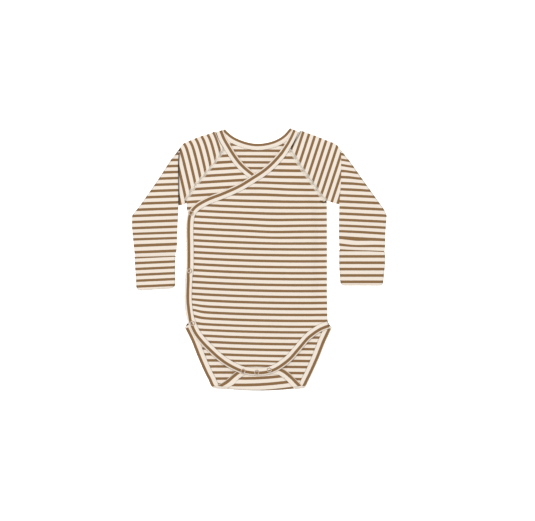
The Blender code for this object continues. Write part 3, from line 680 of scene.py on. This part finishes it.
SIDE_OUTER = [(105.6, -95.0, 4), (105.2, -80.0, 3.4), (104.9, -60.0, 1.6), (104.9, -40.0, 1),
              (104.9, 20.0, 1), (104.6, 86.0, 1)]
OUTER_LEVEL = 4
OUTER_RIPPLE = 0.35
STRIPES_OUTER = {"middle": 6.54, "pitch": 9.23, "tilt": -0.024, "sag": 0.00017}
STRAYS_OUTER = [
    # x and y of the middle, half width, half height, and how far the stripes rise there
    (-106, -84, 13, 17, 3.2), (20, 48, 32, 22, -1.1), (5, 108, 35, 13, 1.6), (0, -167, 25, 8, 1.4),
]
SHOULDER_STRETCH = {"from": 112.0, "share": 0.08}
HEM_DROPS = [
    # the height under which the stripes begin to lie lower, over what length, and how much lower
    (-157, 8, 1.9), (-100, 16, 0.75),
]
COLLAR_NARROWS = {"from": 165.0, "over": 15.0, "by": 1.1}
SIDE_BAND = {"from": -18.0, "to": -100.0, "fade": 14.0, "shift": 1.3}
# a painted shadow line under the raglan's end at the left underarm: its line, how dark it is there, and how
# fast it fades
UNDERARM_SHADOW = {"line": [(95.0, 90.0, 1), (99.0, 87.9, 1), (104.8, 89.6, 1)], "depth": 5.0, "slope": 1.9}
CREASES_OUTER = [
    # x and y of both ends, width, height
    (-72, 60, -66, -30, 9, 0.5), (-20, 96, 20, 30, 14, -0.5), (40, 20, 62, -60, 12, 0.6),
    (-46, -30, -30, -120, 11, 0.5), (12, -60, 26, -140, 10, -0.5), (70, 96, 86, 40, 8, 0.6),
    (-60, -100, -20, -150, 7, 0.6), (30, -110, 60, -90, 8, 0.5), (60, 120, 92, 104, 6, 0.5),
]


def strayed(x, y, strays):
    """How far stripes rise off their lines: each stray adds h exp(-(dx / a)^2 - (dy / b)^2)."""
    return sum(rise * np.exp(-((x - px) / wide)**2 - ((y - py) / high)**2)
               for px, py, wide, high, rise in strays)


wrap = curve(WRAP_OUTER)
lowest = int(np.argmin(wrap[:, 1]))
outer_right = wrap[:lowest + 1]
outer_left = np.vstack([wrap[lowest:-1], curve([WRAP_OUTER[-1]] + SIDE_OUTER + [RAGLAN_LEFT[-1]]),
                        curve(RAGLAN_LEFT[::-1])[1:]])
outer_cut = rows_between(outer_right, outer_left, columns=110)
outer_level, slope = levels_of(outer_cut, np.vstack([outer_right, outer_left]), OUTER_LEVEL)
outer_x, outer_y = outer_cut.transpose(2, 0, 1)
relief = creased(outer_cut, CREASES_OUTER) + rippled(outer_x, outer_y, OUTER_RIPPLE)
bound = curve(WRAP_COLLAR + WRAP_OUTER)
onto_collar = smoothstep((bound[:, 1] - COLLAR_NARROWS["from"]) / COLLAR_NARROWS["over"])
bound_reach = BINDING_REACH - COLLAR_NARROWS["by"] * onto_collar
stretched = outer_y - SHOULDER_STRETCH["share"] * np.clip(outer_y - SHOULDER_STRETCH["from"], 0, None)
for below_y, over, drop in HEM_DROPS:
    stretched = stretched - drop * smoothstep((below_y - outer_y) / over)
stretched = stretched - strayed(outer_x, outer_y, STRAYS_OUTER)
outer_grid = laid(outer_x, outer_y, outer_level, rolled(outer_cut, curve(RAGLAN_LEFT)) + relief * slope)
# painted shadow under the left underarm, carried by the painted_shade attribute
off_underarm_shadow = edge_field(outer_cut, curve(UNDERARM_SHADOW["line"], FINE_STEP))[0]
underarm_shadow = UNDERARM_SHADOW["depth"] - UNDERARM_SHADOW["slope"] * off_underarm_shadow
front_outer = into_mesh("front_outer_panel", outer_grid, striped(outer_x, stretched, STRIPES_OUTER),
                        STRIPED_JERSEY, painted_shade=np.maximum(beside(outer_cut, bound, BINDING_REACH), underarm_shadow))
declare("front_outer",
        cut_of(outer_right, outer_left))
down_side = smoothstep((SIDE_BAND["from"] - bound[:, 1]) / SIDE_BAND["fade"])
down_side *= smoothstep((bound[:, 1] - SIDE_BAND["to"]) / SIDE_BAND["fade"]) * (bound[:, 0] < 0)
bind("wrap_binding_outer", "binding_wrap_outer", bound, 1,
     WRAP_BROWN + SIDE_BAND["shift"] * down_side, reach=bound_reach)

# ---------------------------------------------------------------------------------------------
# Sleeves. Each is one piece of jersey sewn into a tube and set into the raglan seams. It lies flat
# from the shoulder and is folded over itself on a slant, so that the arm points down and the
# stripes of its two parts mirror each other in the fold.

SEAM_GAP = 0.3
SLEEVE_COLUMNS = 30
SLEEVE_RINGS = {"upper": 44, "fold": 10, "lower": 84}
RIM_STEPS = 5
SLEEVE_FOLD_LEVELS = 3
SLEEVE_SETTLES = {"from": 66.0, "to": 38.0}
SLEEVE_PUFF = {"upper": 0.5, "lower": 1.2, "power": 0.7, "starts_over": 0.15, "ripple": 0.25}
PUFF_SINKS = {"from": 0.5, "over": 0.3, "by": 0.6}
# How low the lower stripes hang near the fold, and how fast the hooks of the upper ones die away
# from the shoulder and from the seam, where `row` is the length of one row of the tube's rings.
DROOP = {"from": 100.0, "over": 55.0, "reach": 18.0}
HOOKS = {"shoulder": 9.0, "seam": 6.0, "row": 2.3}
PAINTED_SHADE_SLOPE = {"fold": 2, "collar": 1.5}
COLLAR_LEVEL = 4.2
COLLAR_MARGIN = 0.5
COLLAR_POINTS = 4
COVER_STITCH = {"pitch": 1.15, "slant": 0.8, "stands_off": 0.1}
COVER_HALF = {"width": 0.35, "height": 0.3}
SLEEVES = {
    "right": {
        # the upper part's edges: the shoulder, the underarm, and the armhole in front and behind,
        # of which the first COLLAR_POINTS points in front lie beside the collar
        "shoulder": [(-67.9, 197.2), (-76.0, 193.4), (-89.7, 189.4), (-107.0, 183.0), (-119.0, 177.6),
                     (-125.6, 167.0)],
        "underarm": [(-114.6, 86.2), (-150.0, 79.6), (-196.6, 69.1)],
        "front": [(-68.1, 196.6, 4), (-62.9, 185.0, 4), (-58.2, 177.2, 3.95), (-56.0, 171.6, 3.85)]
        + RAGLAN_RIGHT[1:],
        "back": [(-62.5, 193.5, 1), (-55.5, 185.5, 1), (-51.0, 176.0, 1)] + RAGLAN_BACK_RIGHT
        + [(-113.0, 88.0, 0)],
        # the lower part's two edges, and the line that parts it from the upper one
        "inner": [(-125.6, 167.0), (-126.9, 150.0), (-126.9, 125.0), (-126.7, 79.0), (-128.4, 42.0),
                  (-129.0, 20.0), (-130.0, 12.0), (-132.3, 4.5), (-132.9, -10.0), (-132.8, -43.0)],
        "outer": [(-196.6, 69.1), (-197.0, 50.0), (-195.6, 34.0), (-194.2, 20.0), (-193.1, 10.5),
                  (-191.6, 3.0), (-190.9, -10.0), (-189.6, -30.0), (-188.7, -46.7)],
        "fold": [(-125.6, 167.0), (-137.3, 154.2), (-157.1, 123.8), (-183.1, 86.5), (-196.6, 69.1)],
        # the height of the mitten's hem at the sleeve's inner and outer edge
        "opening": (5.1, 3.4),
        # x and y of a point in the middle of a stripe, the pitch, and the stripes' angle
        "upper_stripes": (-105.4, 140.0, 9.86, -77.0), "lower_stripes": (-160.0, 96.3, 9.40, 2.0),
        "mitten_stripes": (-157.0, -4.8, 9.07, 2.5),
        # how far the upper stripes stand off those lines, and their hooks at the shoulder and seam
        "stand_off": (0.9, -3.6, -1.6),
        # how far the lower stripes fall towards the fold, and where they stray
        "droop": 0.0, "strays": [(-160, 28, 400, 11, 1.45)],
        # the binding at the collar, and how strong the painted shadow is under the lower part's edge and at
        # the collar
        "collar": under_bound, "fold_painted_shade": 9.0, "collar_painted_shade": 0.0,
        # the raglan seam, the sleeve's side of it, and how far its stitches reach to either side
        "raglan": (RAGLAN_RIGHT, -1, 4.1, 2.9),
    },
    "left": {
        "shoulder": [(62.9, 198.6), (72.0, 194.8), (85.6, 190.0), (104.1, 183.1), (119.5, 177.0),
                     (127.4, 167.6)],
        "underarm": [(105.0, 91.4), (123.6, 86.0), (197.1, 68.8)],
        "front": [(63.1, 197.7, 4), (56.2, 184.6, 4.25), (50.6, 174.4, 4.4), (47.9, 169.9, 4.5)]
        + RAGLAN_LEFT[1:],
        "back": [(57.5, 195.0, 1), (50.5, 187.0, 1), (46.5, 178.5, 1)] + RAGLAN_BACK_LEFT
        + [(104.0, 93.0, 0)],
        "inner": [(127.4, 167.6), (127.5, 125.0), (125.0, 82.0), (124.4, 42.0), (125.0, 22.0),
                  (126.2, 13.0), (126.2, -7.0), (127.2, -26.0), (128.3, -38.7)],
        "outer": [(197.1, 68.8), (196.0, 54.0), (195.0, 38.0), (194.4, 18.0), (193.1, 9.5),
                  (192.8, -7.0), (191.0, -27.0), (189.6, -38.8)],
        "fold": [(127.4, 167.6), (139.3, 153.6), (160.3, 123.8), (180.2, 95.9), (193.4, 77.2),
                 (197.1, 68.8)],
        "opening": (13.8, 10.9),
        "upper_stripes": (89.3, 140.0, 9.46, 71.9), "lower_stripes": (160.0, 97.3, 9.45, -2.6),
        "mitten_stripes": (162.0, 4.2, 9.85, 0.0),
        "stand_off": (0.0, 0.0, 0.0),
        "droop": 2.8, "strays": [(140, 38, 60, 13, 1.5), (148, 24, 26, 8, -2.6)],
        "collar": bound, "fold_painted_shade": 3.5, "collar_painted_shade": 5.4,
        "raglan": (RAGLAN_LEFT, 1, 2.5, 4.2),
    },
}


def coons(left, right, start, end, shares=None):
    """A surface over four edge curves: rows run from `start` to `end`, from `left` to `right`.

    It is the sum of the two ruled surfaces between facing edges, less the surface that their four
    corners rule. Its rows and columns lie at even shares of the way, or at those given."""
    v, w = shares or (np.linspace(0, 1, len(left)), np.linspace(0, 1, len(start)))
    v, w = v[:, None, None], w[None, :, None]
    lines = (1 - v) * start[None] + v * end[None] + (1 - w) * left[:, None] + w * right[:, None]
    corners = (1 - v) * ((1 - w) * start[0] + w * start[-1]) + v * ((1 - w) * end[0] + w * end[-1])
    return lines - corners


def stripe_number(x, y, stripes):
    """How many pitches a point lies from a stripe through (px, py) that runs at `angle`."""
    px, py, pitch, angle = stripes
    slant = math.radians(angle)
    return ((y - py) * math.cos(slant) - (x - px) * math.sin(slant)) / pitch


def cover_stitched(name, seam, side, onto_sleeve, onto_front):
    """Slanting stitches over a seam, from `onto_front` to `onto_sleeve` millimetres beside it."""
    path = curve(seam, COVER_STITCH["pitch"])
    normals, tangents = normals_of(path, side)
    top = path[:, 2:] * LAYER + FIRST_WALL + WALL / 2 + COVER_STITCH["stands_off"]
    starts = np.c_[path[:, :2] - normals * onto_front - tangents * COVER_STITCH["slant"] / 2, top]
    ends = np.c_[path[:, :2] + normals * onto_sleeve + tangents * COVER_STITCH["slant"] / 2, top]
    return stitched(name, starts, ends, COVER_HALF)


def sleeve_rings(shape, outward):
    """A flattened tube whose rings go out along the front wall and back along the back wall.

    Both walls are Coons surfaces from the armhole to the fold, half circles round it, and Coons
    surfaces down to the hand; a half circle joins them at either edge. It returns the tube, the
    lower part's outline as it lies, and the length of the tube's middle line."""
    n, upper, lower = SLEEVE_COLUMNS, SLEEVE_RINGS["upper"], SLEEVE_RINGS["lower"]
    fold_radius = SLEEVE_FOLD_LEVELS * LAYER / 2
    tip, elbow = np.array(shape["shoulder"][-1]), np.array(shape["underarm"][-1])
    along = unit(elbow - tip)
    away = np.array([along[1], -along[0]])
    away = away * np.sign(away[0]) * outward
    w = np.linspace(0, 1, n + 1)
    fold_line = curve(shape["fold"], count=n) - away * (fold_radius + WALL / 2)

    gap = np.array([outward * SEAM_GAP, 0, 0])
    shoulder, underarm = curve(shape["shoulder"], count=upper), curve(shape["underarm"], count=upper)
    walls = []
    for rows, level in ((shape["front"], 1), (shape["back"], 0)):
        start = curve(rows, count=n) + gap
        left = np.c_[shoulder, np.linspace(start[0, 2], level, upper + 1)]
        right = np.c_[underarm, np.linspace(start[-1, 2], level, upper + 1)]
        end = np.c_[fold_line, np.full(n + 1, float(level))]
        left[0], right[0], left[-1], right[-1] = start[0], start[-1], end[0], end[-1]
        walls.append(laid(*coons(left, right, start, end).transpose(2, 0, 1)))
    front, back = walls
    swell = (4 * w * (1 - w)) ** SLEEVE_PUFF["power"]
    share = np.linspace(0, 1, upper + 1)[:, None]
    front[..., 2] += rolled(front[..., :2], curve(shape["front"], count=4 * n) + gap)
    front[..., 2] += SLEEVE_PUFF["upper"] * swell * np.sin(math.pi * share)

    angle = np.linspace(0, math.pi, SLEEVE_RINGS["fold"] + 1)[1:-1, None, None]
    turns = []
    for radius in (fold_radius - LAYER, fold_radius):
        place = fold_line[None] + away * radius * np.sin(angle)
        height = FIRST_WALL + fold_radius - radius * np.cos(angle) + 0 * place[..., :1]
        turns.append(np.concatenate([place, height], axis=2))

    inner, outer = curve(shape["inner"], count=lower), curve(shape["outer"], count=lower)
    inner[0], outer[0] = fold_line[0], fold_line[-1]
    layout = coons(inner, outer, fold_line, inner[-1] + w[:, None] * (outer[-1] - inner[-1]))
    settle_length = SLEEVE_SETTLES["from"] - SLEEVE_SETTLES["to"]
    low = FIRST_WALL + 2 * LAYER * smoothstep((layout[..., 1] - SLEEVE_SETTLES["to"]) / settle_length)
    share = np.linspace(0, 1, lower + 1)[:, None]
    sunk = PUFF_SINKS["by"] * smoothstep((share - PUFF_SINKS["from"]) / PUFF_SINKS["over"])
    puff = SLEEVE_PUFF["lower"] * (1 - sunk) + rippled(*layout.transpose(2, 0, 1), SLEEVE_PUFF["ripple"])
    puff = puff * swell * smoothstep(share / SLEEVE_PUFF["starts_over"])
    front = np.vstack([front, turns[0], np.dstack([layout, low])])
    back = np.vstack([back, turns[1], np.dstack([layout, low + LAYER + puff])])

    theta = np.linspace(0, math.pi, RIM_STEPS + 2)[1:-1, None]
    middle, half = (front + back) / 2, (front - back) / 2
    rims = []
    for column, neighbour in ((-1, -2), (0, 1)):
        out = unit(middle[:, column] - middle[:, neighbour])
        size = np.minimum(np.linalg.norm(half[:, column], axis=1), LAYER)[:, None, None]
        rims.append(middle[:, column][:, None] + out[:, None] * np.sin(theta) * size
                    + half[:, column][:, None] * np.cos(theta))
    ring = np.concatenate([front, rims[0], back[:, ::-1], rims[1][:, ::-1]], axis=1)
    return ring, layout, along_path(middle[:, n // 2, :2])[-1]


def sleeve_cloth(shape, ring):
    """Cloth map of a sleeve: V counts the stripes of the upper part, then those of the lower one.

    A whole number of pitches joins the two at the shoulder's tip. The upper stripes stand off by
    a length that dies away exponentially from the shoulder and from the seam. U is half of x + y,
    as the stripes run nearly along y in the one part and along x in the other."""
    x, y = ring[..., 0], ring[..., 1]
    tip, elbow = np.array(shape["shoulder"][-1]), np.array(shape["underarm"][-1])
    near_fold = smoothstep(1 - edge_field(ring[..., :2], curve([(*p, 0) for p in shape["fold"]]))[0]
                           / DROOP["reach"])
    fallen = shape["droop"] * np.clip((y - DROOP["from"]) / DROOP["over"], 0, 1) * near_fold
    low = stripe_number(x, y - strayed(x, y, shape["strays"]) + fallen, shape["lower_stripes"])
    row = np.arange(ring.shape[0])[:, None]
    from_shoulder = (1 - np.abs(np.linspace(-1, 1, ring.shape[1]))) * np.linalg.norm(elbow - tip)
    base, at_shoulder, at_seam = shape["stand_off"]
    off = (base + at_shoulder * np.exp(-from_shoulder / HOOKS["shoulder"])
           + at_seam * np.exp(-row * HOOKS["row"] / HOOKS["seam"]))
    up = stripe_number(x - off, y, shape["upper_stripes"])
    whole = np.round(stripe_number(*tip, shape["upper_stripes"])
                     - stripe_number(*tip, shape["lower_stripes"]))
    number = np.where(row <= SLEEVE_RINGS["upper"], up, low + whole)
    return np.stack([(x + y) / 2, number * STRIPE_PITCH], -1)


def sleeve_painted_shade(shape, ring, outward):
    """The painted shade of a sleeve's front wall: beside the collar's binding, and a painted shadow
    under the edge of the lower part.

    It falls by PAINTED_SHADE_SLOPE for each millimetre from the collar's seam or from the fold."""
    inner = curve([(*p, 0) for p in shape["inner"]])
    past_fold = outward * (np.interp(-ring[..., 1], -inner[:, 1], inner[:, 0]) - ring[..., 0])
    painted_shade = np.maximum(beside(ring, shape["collar"], BINDING_REACH + COLLAR_MARGIN),
                        shape["fold_painted_shade"] - PAINTED_SHADE_SLOPE["fold"] * past_fold)
    painted_shade = np.where(ring[..., 2] < FIRST_WALL + COLLAR_LEVEL * LAYER, painted_shade, 0)
    seam = curve(shape["front"], count=4 * SLEEVE_COLUMNS) + [outward * SEAM_GAP, 0, 0]
    at_collar = shape["collar_painted_shade"] - PAINTED_SHADE_SLOPE["collar"] * edge_field(ring[..., :2], seam)[0]
    under_collar = ring[..., 1] > shape["front"][COLLAR_POINTS - 1][1]
    painted_shade = np.where(under_collar, np.maximum(painted_shade, at_collar), painted_shade)
    row, column = np.indices(ring.shape[:2])
    return np.where((row <= SLEEVE_RINGS["upper"]) & (column <= SLEEVE_COLUMNS), painted_shade, 0)


def make_sleeve(which):
    """A sleeve with its raglan seam's stitches. It returns the lower part's outline as it lies."""
    shape, outward = SLEEVES[which], -1 if which == "right" else 1
    ring, layout, length = sleeve_rings(shape, outward)
    cloth, painted_shade = sleeve_cloth(shape, ring), sleeve_painted_shade(shape, ring, outward)
    if which == "left":
        ring, cloth, painted_shade = ring[:, ::-1], cloth[:, ::-1], painted_shade[:, ::-1]
    piece = into_mesh(f"sleeve_{which}_tube", ring, cloth, STRIPED_JERSEY, closed=True, painted_shade=painted_shade)
    beyond = np.roll(ring, -1, axis=1)
    around = np.linalg.norm(beyond - ring, axis=2).sum(axis=1).max()
    twice = np.linalg.norm(np.cross(beyond[1:] - ring[:-1], ring[1:] - beyond[:-1]), axis=2).sum()
    cover = cover_stitched(f"raglan_{which}_stitches", *shape["raglan"])
    declare(f"sleeve_{which}",
            {"flat": (float(around) * MM, length * MM), "area": float(twice) / 2 * MM**2})
    return layout


# ---------------------------------------------------------------------------------------------
# Mitten cuffs. A shallow hood of jersey sewn over the end of each sleeve and turned over the
# hand's opening. It is closed at the hand and along both sides, and open towards the elbow.

MITTEN_REACH = 2.0
MITTEN_CORNER = {"right": 6.5, "left": 4.5}
MITTEN_EDGE = 2.6
MITTEN_TOP = 2 * LAYER + 1.1
MITTEN_CROWN = {"height": 0.5, "over": 25.0}
MITTEN_STEPS = {"down": 50, "across": 60}
CORNER_MARGIN = 0.5
CORNER_STEPS = 8


def below(edge, top, count=40):
    """The part of a sleeve's edge from the height `top` down to its end, at even heights."""
    return between(edge, -edge[:, 1], -np.linspace(top, edge[-1, 1], count))


def make_mitten(which, layout):
    """A hood over the sleeve's end: a Coons surface whose far edge turns both corners round.

    From its closed edges it rises as a quarter circle, sqrt(1 - (1 - d / r)^2), to its top."""
    shape = SLEEVES[which]
    inner, outer = (below(layout[:, j], top) for j, top in zip((0, -1), shape["opening"]))
    across = unit(outer - inner)
    inner, outer = inner - across * MITTEN_REACH, outer + across * MITTEN_REACH
    down = unit(inner[-1] - inner[0])
    turn = np.radians(np.linspace(0, 90, CORNER_STEPS + 1))[:, None]
    v, w = crowded(MITTEN_STEPS["down"]), crowded(MITTEN_STEPS["across"])
    corners, sides = [], []
    for side, way in ((inner, across[-1]), (outer, -across[-1])):
        bend = way * (1 - np.cos(turn)) - down * (1 - np.sin(turn))
        corner = side[-1] + down * MITTEN_REACH + MITTEN_CORNER[which] * bend
        straight = side[(side - corner[0]) @ down < -CORNER_MARGIN]
        side = np.vstack([straight, corner[0]])
        along = along_path(side)
        sides.append(between(side, along, v * along[-1]))
        corners.append(corner)
    end = np.vstack([corners[0], corners[1][::-1]])
    along = along_path(end)
    end = between(end, along, w * along[-1])
    left, right = sides
    start = left[0] + w[:, None] * (right[0] - left[0])
    grid = coons(left, right, start, end, (v, w))

    closed_edge = np.vstack([curve(edge, FINE_STEP) for edge in (left, end, right)])
    near = edge_field(grid, np.c_[closed_edge, np.zeros(len(closed_edge))])[0]
    d = np.clip(near / MITTEN_EDGE, 0, 1)
    crown = MITTEN_CROWN["height"] * smoothstep(near / MITTEN_CROWN["over"])
    hood = np.dstack([grid, FIRST_WALL + MITTEN_TOP * np.sqrt(1 - (1 - d) ** 2) + crown])
    number = stripe_number(grid[..., 0], grid[..., 1], shape["mitten_stripes"])
    cloth = np.stack([grid[..., 0], number * STRIPE_PITCH], -1)
    if which == "right":
        hood, cloth = hood[:, ::-1], cloth[:, ::-1]
    piece = into_mesh(f"mitten_{which}_hood", hood, cloth, STRIPED_JERSEY)
    wide = np.linalg.norm(start[-1] - start[0]) + 2 * MITTEN_TOP
    long = np.linalg.norm(inner[-1] + down * MITTEN_REACH - inner[0]) + MITTEN_TOP
    declare(f"mitten_{which}",
            {"flat": (float(wide) * MM, float(long) * MM)})


for which in SLEEVES:
    make_mitten(which, make_sleeve(which))

# ---------------------------------------------------------------------------------------------
# Snaps. Enamelled brass ring snaps, pressed through the bindings: three down the wrap's side and
# three at the crotch. Each shows the open ring of its cap, with the binding's brown band inside.

SNAP_RADIUS = 4.0
SNAP_SEAT = 0.8
SNAP_SIDES = 48
ENAMEL_WEAR = {"begins": 0.45, "ends": 0.75, "smooth": 0.28, "rougher": 0.15}
SNAPS = {
    # node: x, y, level of the cloth wall it is pressed on
    "snap_side_1": (-105.6, 71.2, 4.8),
    "snap_side_2": (-107.9, -18.3, 4.0),
    "snap_side_3": (-103.4, -99.4, 5.0),
    "snap_crotch_1": (-25.2, -173.3, 6.0),
    "snap_crotch_2": (-4.0, -175.2, 6.0),
    "snap_crotch_3": (15.4, -171.5, 6.0),
}
SNAP_PROFILE = [
    # share of the radius, height, from the inner rim over the crown and back underneath
    (0.62, 0.0), (0.60, 0.25), (0.62, 0.55), (0.68, 0.78), (0.76, 0.88), (0.85, 0.86), (0.93, 0.72),
    (0.99, 0.45), (1.0, 0.2), (0.97, 0.0), (0.80, 0.0), (0.62, 0.0),
]


def enamel():
    """Ivory enamel over brass, worn thin and a little rougher in small patches."""
    made, shader, start = shader_of("Ivory snap enamel", Roughness=0.32, Metallic=0.1, Coat_Weight=0.4)
    worn = start.noise(900.0, 3.0)
    thin = worn.step(ENAMEL_WEAR["begins"], ENAMEL_WEAR["ends"])
    thin.choose((0.42, 0.32, 0.24, 1), (0.34, 0.25, 0.18, 1)).into(shader, "Base Color")
    (ENAMEL_WEAR["smooth"] + worn * ENAMEL_WEAR["rougher"]).into(shader, "Roughness")
    return made


ENAMEL = enamel()
share, rise = np.array(SNAP_PROFILE).T
turn = np.linspace(0, 2 * math.pi, SNAP_SIDES, endpoint=False)
for node, (x, y, level) in SNAPS.items():
    radius = share[::-1, None] * SNAP_RADIUS
    height = level * LAYER + FIRST_WALL + SNAP_SEAT + rise[::-1, None]
    ring = np.stack([x + radius * np.cos(turn), y + radius * np.sin(turn), height + 0 * turn], -1)
    cap = into_mesh(f"{node}_cap", ring, ring[..., :2], ENAMEL, closed=True, wall=0)
    cap.modifiers.new("Closed ring", "WELD").merge_threshold = 0.01 * MM
    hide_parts(node)

# ---------------------------------------------------------------------------------------------
# The table, the light and the camera. A plain white table lit evenly from all round, with one
# large soft lamp at the upper left, seen from straight above. The camera sees `width_seen` of the
# plane at the height `seen_at`.

CAMERA = {"x": 12.63, "y": -2.17, "height": 2005.0, "seen_at": 5.0, "width_seen": 829.25, "sensor": 36.0}
TABLE = {"half": 9000.0, "height": -0.2}
SKY = 0.42
LAMP = {"place": (-150.0, 400.0, 3000.0), "size": 1500.0, "watts": 82.0}

white = shader_of("White table", Roughness=0.9, Base_Color=(0.92, 0.92, 0.92, 1),
                  Emission_Color=(1, 1, 1, 1), Emission_Strength=0.35)[0]
corners = np.array([(-1, -1, 0), (1, -1, 0), (1, 1, 0), (-1, 1, 0)]) * TABLE["half"]
table_top = smooth_object("table_top", corners + [0, 0, TABLE["height"]], [(0, 1, 2, 3)], white)

world = bpy.data.worlds.new("Soft white room")
world.use_nodes = True
world.node_tree.nodes["Background"].inputs["Color"].default_value = (1, 1, 1, 1)
world.node_tree.nodes["Background"].inputs["Strength"].default_value = SKY
bpy.context.scene.world = world
bpy.context.scene.view_settings.view_transform = "Standard"

lamp_data = bpy.data.lights.new("soft_box", "AREA")
lamp_data.size = LAMP["size"] * MM
lamp_data.energy = LAMP["watts"]
lamp = bpy.data.objects.new("soft_box", lamp_data)
lamp.location = Vector(LAMP["place"]) * MM
lamp.rotation_euler = (-lamp.location).to_track_quat("-Z", "Y").to_euler()
bpy.context.scene.collection.objects.link(lamp)

camera_data = bpy.data.cameras.new("above")
camera_data.sensor_width = CAMERA["sensor"]
camera_data.lens = CAMERA["sensor"] * (CAMERA["height"] - CAMERA["seen_at"]) / CAMERA["width_seen"]
camera = bpy.data.objects.new("above", camera_data)
camera.location = Vector((CAMERA["x"], CAMERA["y"], CAMERA["height"])) * MM
bpy.context.scene.collection.objects.link(camera)
bpy.context.scene.camera = camera
